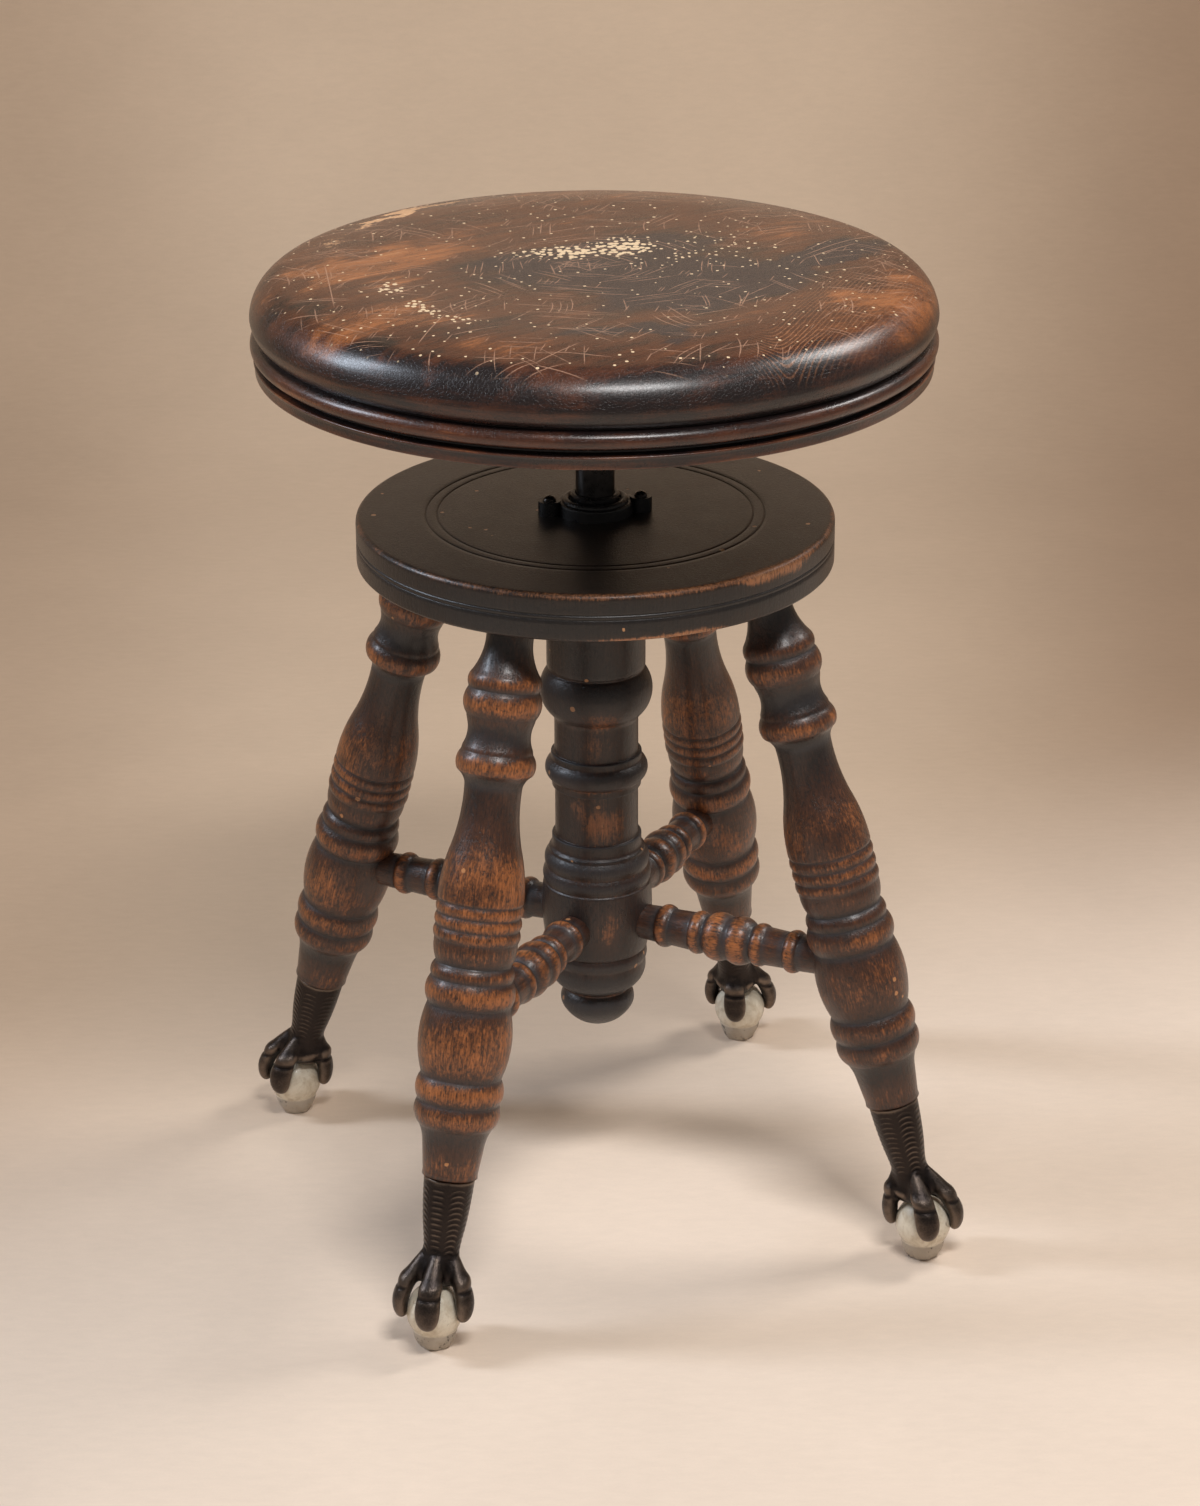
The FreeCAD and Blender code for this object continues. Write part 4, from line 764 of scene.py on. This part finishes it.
# The sides: dark, rubbed brown in streaks along the turning
def seatSide(own, fleck):
    s = seat
    along = cloudy(own, s["sideStreakSize"], 4, 0.66)
    low = cloudy(own, s["sideCloudSize"], 2)
    tone = weighted(-0.75, (along, 0.5), (fleck, 0.2), (low, 0.45), (ownValue("proud"), 0.7))
    colour = turning(s["dark"], s["brown"], tone, -0.6, 0.35)
    return turning(colour, s["orange"], tone, 0.25, 1.1)


# Two masks: the scratches, and the cream flecks with the small nicks
def seatMarks(own, height, fleck):
    s = seat
    top = stand["seatTop"]
    marked = between(height, s["bodyTop"] * mm, s["marksTop"] * mm)
    strokes = times(strokesOf(own, s["strokes"]), between(fleck, -1.0, 0.4, 0.25, 1.0))
    lines = linesOf(own, s["lines"], s["lineHalfWidth"], top)
    hair = times(zones(own, s["hairAreas"], top), strokesOf(own, s["hairStrokes"]))
    scratches = times(larger(larger(strokes, lines), hair), marked)
    flecks = flecksOf(own, zones(own, s["creamAreas"], top))
    far, chance, size = cells(own, s["nickCell"], s["nickTurn"], "2D")
    nick = times(between(weighted(far, (size, -0.07)), 0.055, 0.02),
                 maths("LESS_THAN", chance, s["nickShare"]))
    return scratches, larger(flecks, times(nick, marked))


def seatMaterial():
    s = seat
    material, principled = newMaterial("old seat wood", Coat_Weight=0.6, Coat_Roughness=0.27,
                                       Specular_IOR_Level=0.3)
    own = ownPlace()
    height = heightOf(own)
    streak, fine, cloud, fleck = (
        cloudy(own, s[key], detail, roughness, s["grainTurn"])
        for key, detail, roughness in (("streakSize", 4, 0.62), ("fineSize", 3, 0.6),
                                       ("cloudSize", 3, 0.6), ("fleckSize", 4, 0.72)))
    topColour, bare, greyed = seatTop(own, streak, fine, cloud, fleck)
    onTop = between(height, s["bodyBottom"] * mm, s["bodyTop"] * mm)
    colour = blendColour(onTop, seatSide(own, fleck), topColour)
    scratches, flecks = seatMarks(own, height, fleck)
    colour = blendColour(times(scratches, 0.75), colour, s["scratch"])
    colour = blendColour(flecks, colour, s["cream"])
    # Crazed varnish
    crack = between(cells(own, s["crackCell"], feature="DISTANCE_TO_EDGE"), 0.0, 0.09)
    relief = weighted(0.0, (crack, 0.45), (fleck, 0.35), (fine, 0.12))
    rough = weighted(0.30, (fleck, 0.05), (cloud, 0.03), (flecks, 0.25), (scratches, 0.12),
                     (bare, 0.2), (greyed, 0.06))
    finish(principled, colour, rough, relief, s["relief"])
    return material


def makeSeat(material):
    line, proud = wornOutline(outlineOf(seat["underside"], seat["rows"]), 0.5, coarse=9.0)
    thing = turnedPiece("seat_turned", line, proud, seat)
    settle(thing, "seat_assembly", ["seat"], material)


# Glass balls

ball = {"radius": 15, "height": 20, "stubTop": 12, "stubMiddle": 10.9, "stubFloor": 8,
        "stubFade": (11.5, 9.5), "chipFade": (8.5, 4.5), "cloud": (9, 9, 12),
        "speck": (1.6, 1.6, 1.6), "veinSize": (11, 11, 16), "patch": (13, 13, 13),
        "columns": 112, "wear": 0.0, "bands": [], "patches": [],
        "light": (0.80, 0.73, 0.60), "dull": (0.58, 0.49, 0.36), "vein": (0.13, 0.075, 0.045),
        "stub": (0.46, 0.40, 0.33), "chipped": (0.055, 0.045, 0.04)}


# The stub's moulded side is chipped: a few waves round it, fading out above the ball's joint
def chippedStub(a, z):
    waves = (0.30 * np.sin(5 * a + 0.6) + 0.22 * np.sin(9 * a + 2.1 + 0.5 * z)
             + 0.16 * np.sin(17 * a + 1.3 * z))
    high, low = ball["chipFade"]
    return (waves - 0.25) * np.clip((high - z) / (high - low), 0, 1) * np.clip(z / 0.8, 0, 1)


# A sphere on a short stub that widens upwards from its flat floor face
def makeBalls(material):
    b = ball
    joint = b["height"] - math.sqrt(b["radius"] ** 2 - b["stubTop"] ** 2)
    rows = [(0, b["stubFloor"]), (joint, b["stubTop"], b["stubMiddle"])]
    foot = outlineOf((0.6, 0), rows)
    first = math.asin((joint - b["height"]) / b["radius"])
    angles = np.linspace(first, math.pi / 2 - 0.03, 90)
    globe = np.stack([b["radius"] * np.cos(angles), b["height"] + b["radius"] * np.sin(angles)], 1)
    line, proud = wornOutline(np.concatenate([foot, globe]), 0.35, coarse=1.2)
    for leg, name in enumerate(legNames):
        thing = turnedPiece(f"{name}_ball_moulded", line, proud, b, ballPlace(leg),
                            grainShift=0.1 * leg, waver=chippedStub)
        settle(thing, "base", [f"{name}_glass_ball"], material)


def glassMaterial():
    b = ball
    material, principled = newMaterial("clouded glass", Specular_IOR_Level=0.5)
    own = ownPlace()
    cloud = cloudy(own, b["cloud"], 4, 0.6, distortion=0.8)
    speck = cloudy(own, b["speck"], 4, 0.7)
    wavy = cloudy(own, b["veinSize"], 3, 0.55, distortion=1.2)
    vein = maths("ABSOLUTE", wavy)
    patch = between(cloudy(own, b["patch"], 2), 0.0, 0.7)
    colour = turning(b["dull"], b["light"], weighted(cloud, (speck, 0.2)), -0.9, 0.5)
    veins = times(between(weighted(vein, (speck, 0.05)), 0.07, 0.0),
                  times(patch, 0.6))
    pits = between(weighted(speck, (patch, 0.35)), 1.0, 1.35)
    colour = blendColour(larger(veins, pits), colour, b["vein"])
    high, low = b["stubFade"]
    ragged = weighted(heightOf(own), (speck, 0.4 * mm))
    onStub = between(ragged, high * mm, low * mm)
    chip = between(weighted(0.0, (speck, 0.7), (cloud, 0.6)), 0.3, 0.75)
    stub = blendColour(chip, b["stub"], b["chipped"])
    colour = blendColour(onStub, colour, stub)
    rough = weighted(0.20, (speck, 0.04), (onStub, 0.35))
    relief = weighted(0.0, (speck, 0.3), (veins, -0.3), (pits, -0.5),
                      (times(onStub, chip), -1.2))
    finish(principled, colour, rough, relief, 0.2)
    return material


# Claw feet

claw = {
    "shank": [(13.5, 94.3), (12.9, 84), (12.4, 77), (11.4, 68), (9.9, 59.3), (9.3, 52.8),
              (10.4, 47), (11.8, 42.6), (12, 39.6), (10, 37.1), (7, 35.2)],
    "sideAngle": 75, "twist": 15,
    "reach": (4, 10.5, 15.2, 18.0, 18, 16.2), "rise": (53, 44, 37.5, 29, 23, 17),
    "halfWidth": (3.8, 5.2, 6.1, 6.9, 6.1, 2.9), "halfDepth": (4.4, 4.6, 4.3, 4.5, 4.0, 2.4),
    "voxel": 0.6, "filletRounds": 44, "webs": (30, 60), "webPull": 0.9, "firm": 0.05,
    "lowest": 1, "proudRounds": 10,
    "knuckle": (40.2, 2.6, 0.9), "notch": (36.0, 1.1, 0.5), "nailReach": 11.5,
    "scutePitch": 3.05, "scuteDepth": 0.34, "scuteRange": (50, 91),
    # Columns of scutes: azimuth, half angle, bow of each one, strength
    "scutes": [(4, 15, 0.3, 0.8), (52, 19, 1.6, 1.0), (-44, 19, 1.6, 1.0), (100, 18, 1.0, 0.6),
               (-92, 18, 1.0, 0.6), (150, 20, 1.2, 0.5), (-142, 20, 1.2, 0.5)],
    "cloud": (9, 9, 9), "grit": (0.9, 0.9, 0.9),
    "dark": (0.038, 0.031, 0.029), "rubbed": (0.20, 0.155, 0.125), "sunk": (0.014, 0.012, 0.012),
}


# A tapering finger: oval sections carried along a smooth path down the ball
def talonSurface(angle, columns=32, stations=64):
    c = claw
    s = np.linspace(0, len(c["reach"]) - 1, stations)
    known = np.arange(len(c["reach"]))
    smooth = stations / len(c["reach"]) * 0.3
    reach, rise, width, depth = (softened(np.interp(s, known, c[key]), smooth)
                                 for key in ("reach", "rise", "halfWidth", "halfDepth"))
    end = np.sqrt(np.clip(1 - ((s - s[-1] + 0.6) / 0.6).clip(0, 1) ** 2, 0.02, 1))[:, None, None]
    turn = math.radians(angle)
    up = np.clip(rise - ball["height"], 0, None)
    back = slope * up ** 2 / (c["rise"][0] - ball["height"])
    path = np.stack([reach * math.cos(turn) - back, reach * math.sin(turn), rise], 1)
    tangent = np.gradient(path, axis=0)
    tangent /= np.linalg.norm(tangent, axis=1)[:, None]
    side = np.array([-math.sin(turn), math.cos(turn), 0])
    out = np.cross(side, tangent)
    out /= np.linalg.norm(out, axis=1)[:, None]
    a = np.arange(columns) * 2 * math.pi / columns
    ring = (np.cos(a)[None, :, None] * side[None, None, :] * width[:, None, None]
            + np.sin(a)[None, :, None] * out[:, None, :] * depth[:, None, None])
    return path[:, None, :] + ring * end


# Vertices and faces of a tube given ring by ring, with both ends closed
def closedTube(points):
    ends = np.stack([points[0].mean(0), points[-1].mean(0)])
    return (np.concatenate([points.reshape(-1, 3), ends]),
            ringFaces(*points.shape[:2], flipped=True))


# The leg's axis as seen from the floor under the ball: how it leans and where it meets the floor
def clawLean():
    lean = turnAbout("Y", -stand["lean"])[:3, :3]
    foot = np.array([ball["height"] * slope, 0, 0])
    return lean, foot


# The shank and palm: a line carried round the leg's axis
def shankSurface(columns=64):
    line = softened(evened(np.array(claw["shank"], float), 0.6), 4)
    a = -np.arange(columns) * 2 * math.pi / columns
    points = np.stack([line[:, :1] * np.cos(a), line[:, :1] * np.sin(a),
                       np.repeat(line[:, 1:], columns, 1)], 2)
    lean, foot = clawLean()
    return points @ lean.T + foot


# The surface of one solid that fills all the given ones, as arrays of points, quads and edges
def fused(vertices, faces):
    draft = meshFrom("claw_draft", vertices, faces, {})
    remesh = draft.modifiers.new("join", "REMESH")
    remesh.mode = "VOXEL"
    remesh.voxel_size = claw["voxel"]
    mesh = draft.evaluated_get(bpy.context.evaluated_depsgraph_get()).to_mesh()
    points = np.array([vertex.co[:] for vertex in mesh.vertices])
    quads = np.array([face.vertices[:] for face in mesh.polygons])
    edges = np.array([edge.vertices[:] for edge in mesh.edges])
    bpy.data.objects.remove(draft)
    return points, quads, edges


# The mean of each point's neighbours
def neighbourMean(points, edges):
    both = np.concatenate([edges, edges[:, ::-1]])
    degree = np.bincount(both[:, 0], minlength=len(points))
    return np.stack([np.bincount(both[:, 0], points[both[:, 1], k], len(points)) / degree
                     for k in range(3)], 1)


# Unit normals at the points: each face's, the cross product of its diagonals, added up
def normalsOf(points, quads):
    a, b, c, d = (points[quads[:, k]] for k in range(4))
    across = np.cross(c - a, d - b)
    total = np.stack([sum(np.bincount(quads[:, k], across[:, axis], len(points))
                          for k in range(4)) for axis in range(3)], 1)
    return total / (np.linalg.norm(total, axis=1)[:, None] + 1e-12)


# How far the surface stands out for knuckles, the notch above each nail, and the scutes: rows of
# small ridges, raised cosines along the leg's axis that bow with the angle from their column
def clawRelief(points, normals):
    c = claw
    lean, foot = clawLean()
    own = (points - foot) @ lean
    reach = np.hypot(points[:, 0] + 2, points[:, 1])
    outward = np.clip((normals * np.stack([points[:, 0], points[:, 1], 0 * reach], 1)).sum(1)
                      / np.maximum(reach, 1), 0, 1)
    onTalon = np.clip((reach - c["nailReach"]) / 2, 0, 1) * outward
    total = np.zeros(len(points))
    for (height, half, amount), sign in ((c["knuckle"], 1), (c["notch"], -1)):
        total += sign * amount * np.exp(-((points[:, 2] - height) / half) ** 2) * onTalon
    turn = np.degrees(np.arctan2(own[:, 1], own[:, 0]))
    low, high = c["scuteRange"]
    inside = np.clip((own[:, 2] - low) / 5, 0, 1) * np.clip((high - own[:, 2]) / 3, 0, 1)
    for azimuth, half, bow, strength in c["scutes"]:
        away = ((turn - azimuth + 180) % 360 - 180) / half
        wave = 0.5 - 0.5 * np.cos(2 * math.pi * (own[:, 2] + bow * away ** 2) / c["scutePitch"]
                                  + azimuth)
        total += (c["scuteDepth"] * strength * (wave ** 1.5 - 0.4) * inside
                  * np.exp(-away ** 4))
    return total


# The claw: shank and four talons fused, valleys filled into webs, then relief raised. A point
# that lies behind the mean of its neighbours moves out to it; the others move a little of the way
def clawSurface():
    vertices, faces = [], []
    for points in [shankSurface()] + [talonSurface(claw["twist"] + angle) for angle in
                                      (0, claw["sideAngle"], 180, -claw["sideAngle"])]:
        places, quads = closedTube(points)
        start = sum(len(v) for v in vertices)
        vertices.append(places)
        faces += [[start + k for k in face] for face in quads]
    points, quads, edges = fused(np.concatenate(vertices), faces)
    normals = normalsOf(points, quads)
    for turn in range(claw["filletRounds"]):
        away = neighbourMean(points, edges) - points
        valley = (away * normals).sum(1, keepdims=True) > 0
        webbed = valley & (points[:, 2:] > claw["webs"][0]) & (points[:, 2:] < claw["webs"][1])
        points = points + away * np.where(webbed, claw["webPull"], claw["firm"])
    normals = normalsOf(points, quads)
    points = points + normals * clawRelief(points, normals)[:, None]
    points[:, 2] = np.maximum(points[:, 2], claw["lowest"])
    smooth = points
    for turn in range(claw["proudRounds"]):
        smooth = neighbourMean(smooth, edges)
    proud = ((points - smooth) * normalsOf(points, quads)).sum(1)
    return points, quads, proud


def makeClaws(material):
    points, quads, proud = clawSurface()
    own = points * mm
    for leg, name in enumerate(legNames):
        place = ballPlace(leg)
        thing = meshFrom(f"{name}_claw_cast", own @ place[:3, :3].T + place[:3, 3],
                         quads.tolist(), {"own": own + (0.1 * leg, 0, 0), "proud": proud})
        settle(thing, "base", [f"{name}_claw_foot"], material)


# Dark bronzed casting, rubbed bright where it stands proud and dull where it is sunk
def clawMaterial():
    c = claw
    material, principled = newMaterial("bronzed claw iron", Metallic=1.0)
    own = ownPlace()
    proud = ownValue("proud")
    cloud = cloudy(own, c["cloud"], 4)
    grit = cloudy(own, c["grit"], 3, 0.65)
    amount = weighted(0.0, (proud, 1.0), (cloud, 0.035), (grit, 0.03))
    colour = turning(c["dark"], c["sunk"], amount, -0.02, -0.16)
    colour = turning(colour, c["rubbed"], amount, 0.06, 0.3)
    rough = weighted(0.36, (grit, 0.05), (cloud, 0.05))
    finish(principled, colour, rough, weighted(0.0, (grit, 0.5), (cloud, 0.6)), 0.1)
    return material


# Metal that the CAD's own nodes wear

metalLook = {"cloud": (7, 7, 7), "grit": (0.8, 0.8, 0.8), "dust": (0.045, 0.030, 0.022)}

metals = {
    "black iron": {"colour": (0.012, 0.012, 0.013), "metallic": 0.0, "rough": 0.30,
                   "relief": 0.12, "nodes": ["nut_flange", "seat_spider", "stop_washer"]},
    "dark steel": {"colour": (0.075, 0.070, 0.068), "metallic": 1.0, "rough": 0.30,
                   "relief": 0.04,
                   "nodes": ["lift_screw", "flange_screws", "spider_screws", "washer_screw"]
                   + [f"{name}_foot_screw" for name in legNames]},
}


# Paint or dark polish over a slightly grainy casting, with rust-brown dust in patches
def metalMaterial(name, values):
    material, principled = newMaterial(name, Metallic=values["metallic"])
    place = put("TexCoord").outputs["Object"]
    cloud = cloudy(place, metalLook["cloud"], 4)
    grit = cloudy(place, metalLook["grit"], 3, 0.65)
    colour = shaded(rgb(values["colour"]), between(cloud, -1, 1, 0.75, 1.4))
    dust = times(between(weighted(cloud, (grit, 0.3)), 0.6, 1.2), 0.5)
    colour = blendColour(dust, colour, metalLook["dust"])
    rough = weighted(values["rough"], (cloud, 0.05), (grit, 0.03), (dust, 0.3))
    finish(principled, colour, rough, weighted(0.0, (grit, 0.5), (cloud, 0.8)),
           values["relief"])
    for node in values["nodes"]:
        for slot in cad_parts[node].material_slots:
            slot.material = material


# Floor, backdrop and lights

# Sizes in metres from the stool's middle, the lamps' aim and the mottling in millimetres. halfView
# is the half width of the view, as its slope along the line of sight and its size at the stool
studio = {"depth": 1.15, "bend": 0.9, "wall": 3.2, "width": 4.5, "front": -3.0,
          "halfView": (0.112, 0.32), "broad": (160, 160, 160), "small": (14, 5, 5),
          "weave": (1.6, 1.6, 1.6), "aim": 300, "sky": (0.80, 0.75, 0.70), "skyStrength": 0.25,
          # The backdrop's colours paint its light: near is a painted pool of light in front, middle
          # the middle of the view, left and right its painted darker sides
          "near": (0.80, 0.665, 0.545), "middle": (0.57, 0.435, 0.315),
          "left": (0.45, 0.325, 0.225), "right": (0.33, 0.225, 0.150)}


# A sheet that lies flat under the stool, bends up in a quarter circle behind it and goes on as a
# wall: the line carried straight sideways
def makeFloor(material):
    s = studio
    angles = np.linspace(0, math.pi / 2, 40)
    bend = np.stack([s["depth"] + s["bend"] * np.sin(angles), s["bend"] * (1 - np.cos(angles))], 1)
    line = np.concatenate([[(s["front"], 0)], bend, [(s["depth"] + s["bend"], s["wall"])]])
    turn = math.radians(camera["turn"])
    sides = np.array([-s["width"], s["width"]])
    x, y = np.meshgrid(sides, line[:, 0])
    z = np.repeat(line[:, 1:], 2, 1)
    points = np.stack([x * math.cos(turn) - y * math.sin(turn),
                       x * math.sin(turn) + y * math.cos(turn), z], 2).reshape(-1, 3)
    index = np.arange(len(points)).reshape(-1, 2)
    faces = np.stack([index[:-1, 0], index[:-1, 1], index[1:, 1], index[1:, 0]], 1).tolist()
    thing = meshFrom("backdrop", points, faces, {})
    thing.data.materials.append(material)


# Canvas with painted light: a painted pool of light, palest in front, and painted falloff of light,
# darker to both sides and behind, with soft mottling of the canvas itself
def backdropMaterial():
    s = studio
    material, principled = newMaterial("canvas backdrop with painted light", Roughness=0.9,
                                       Specular_IOR_Level=0.2)
    place = put("TexCoord").outputs["Object"]
    turn = math.radians(camera["turn"])
    across, away = (vectors("DOT_PRODUCT", place, direction)["Value"]
                    for direction in ((math.cos(turn), math.sin(turn), 0),
                                      (-math.sin(turn), math.cos(turn), 0)))
    # How far to the side a place is, as a share of the view's half width there
    half = maths("MULTIPLY_ADD", away, *s["halfView"])
    share = maths("DIVIDE", across, larger(half, 0.1))
    # Painted falloff of light: darker towards both sides of the view, most on the right
    colour = turning(s["middle"], s["left"], share, -0.5, -1.15)
    colour = turning(colour, s["right"], share, 0.35, 1.2)
    # Painted pool of light on the floor in front, reaching further back on the right
    near = between(weighted(away, (across, -0.55)), 0.5, -0.1)
    # Painted light: up to a fifth brighter from 1 to 2.1 m back, over the bend and up the wall
    colour = shaded(colour, between(away, 1.0, 2.1, 1.0, 1.2))
    colour = blendColour(near, colour, s["near"])
    broad = cloudy(place, s["broad"], 3)
    small = cloudy(place, s["small"], 4, 0.65, camera["turn"])
    weave = cloudy(place, s["weave"], 2)
    mottled = weighted(1.0, (broad, 0.035), (small, 0.03), (weave, 0.012))
    colour = shaded(colour, mottled)
    join(colour, principled.inputs["Base Color"])
    return material


# Azimuth and height in degrees, distance in millimetres, size in metres and power in watts
lamps = {
    "key": {"azimuth": 4, "height": 47, "away": 2300, "size": (0.65, 0.65), "power": 21,
            "tint": (1, 0.97, 0.94)},
    "window": {"azimuth": 158, "height": 36, "away": 2200, "size": (0.32, 0.9), "power": 24,
               "tint": (0.78, 0.87, 1)},
    "front": {"azimuth": 268, "height": 58, "away": 2400, "size": (0.8, 0.32), "power": 33,
              "tint": (1, 0.98, 0.97)},
}


def makeLights():
    for name, lamp in lamps.items():
        data = bpy.data.lights.new(name, "AREA")
        data.shape = "RECTANGLE"
        data.size, data.size_y = lamp["size"]
        data.energy = lamp["power"]
        data.color = lamp["tint"]
        thing = added(name, data)
        thing.matrix_world = Matrix(
            moved(0, 0, studio["aim"]) @ turnAbout("Z", lamp["azimuth"] + 90)
            @ turnAbout("X", 90 - lamp["height"]) @ moved(0, 0, lamp["away"]))
    world = bpy.data.worlds.new("studio")
    world.use_nodes = True
    background = world.node_tree.nodes["Background"].inputs
    background["Color"].default_value = rgb(studio["sky"])
    background["Strength"].default_value = studio["skyStrength"]
    bpy.context.scene.world = world


bpy.context.scene.view_settings.view_transform = "Standard"
addCamera()
agedWood = agedWoodGroup()
legWood = woodMaterial("worn leg wood", legTurning, agedWood)
postWood = woodMaterial("ebonised post wood", postTurning, agedWood)
baseWood = woodMaterial("ebonised base wood", base, agedWood)
for metal, finishValues in metals.items():
    metalMaterial(metal, finishValues)
print("materials made")
makeLegs(legWood)
makeStretchers(legWood)
makePost(postWood)
makeBase(baseWood)
makeSeat(seatMaterial())
makeBalls(glassMaterial())
print("turned pieces made")
makeClaws(clawMaterial())
print("claws made")
makeFloor(backdropMaterial())
makeLights()
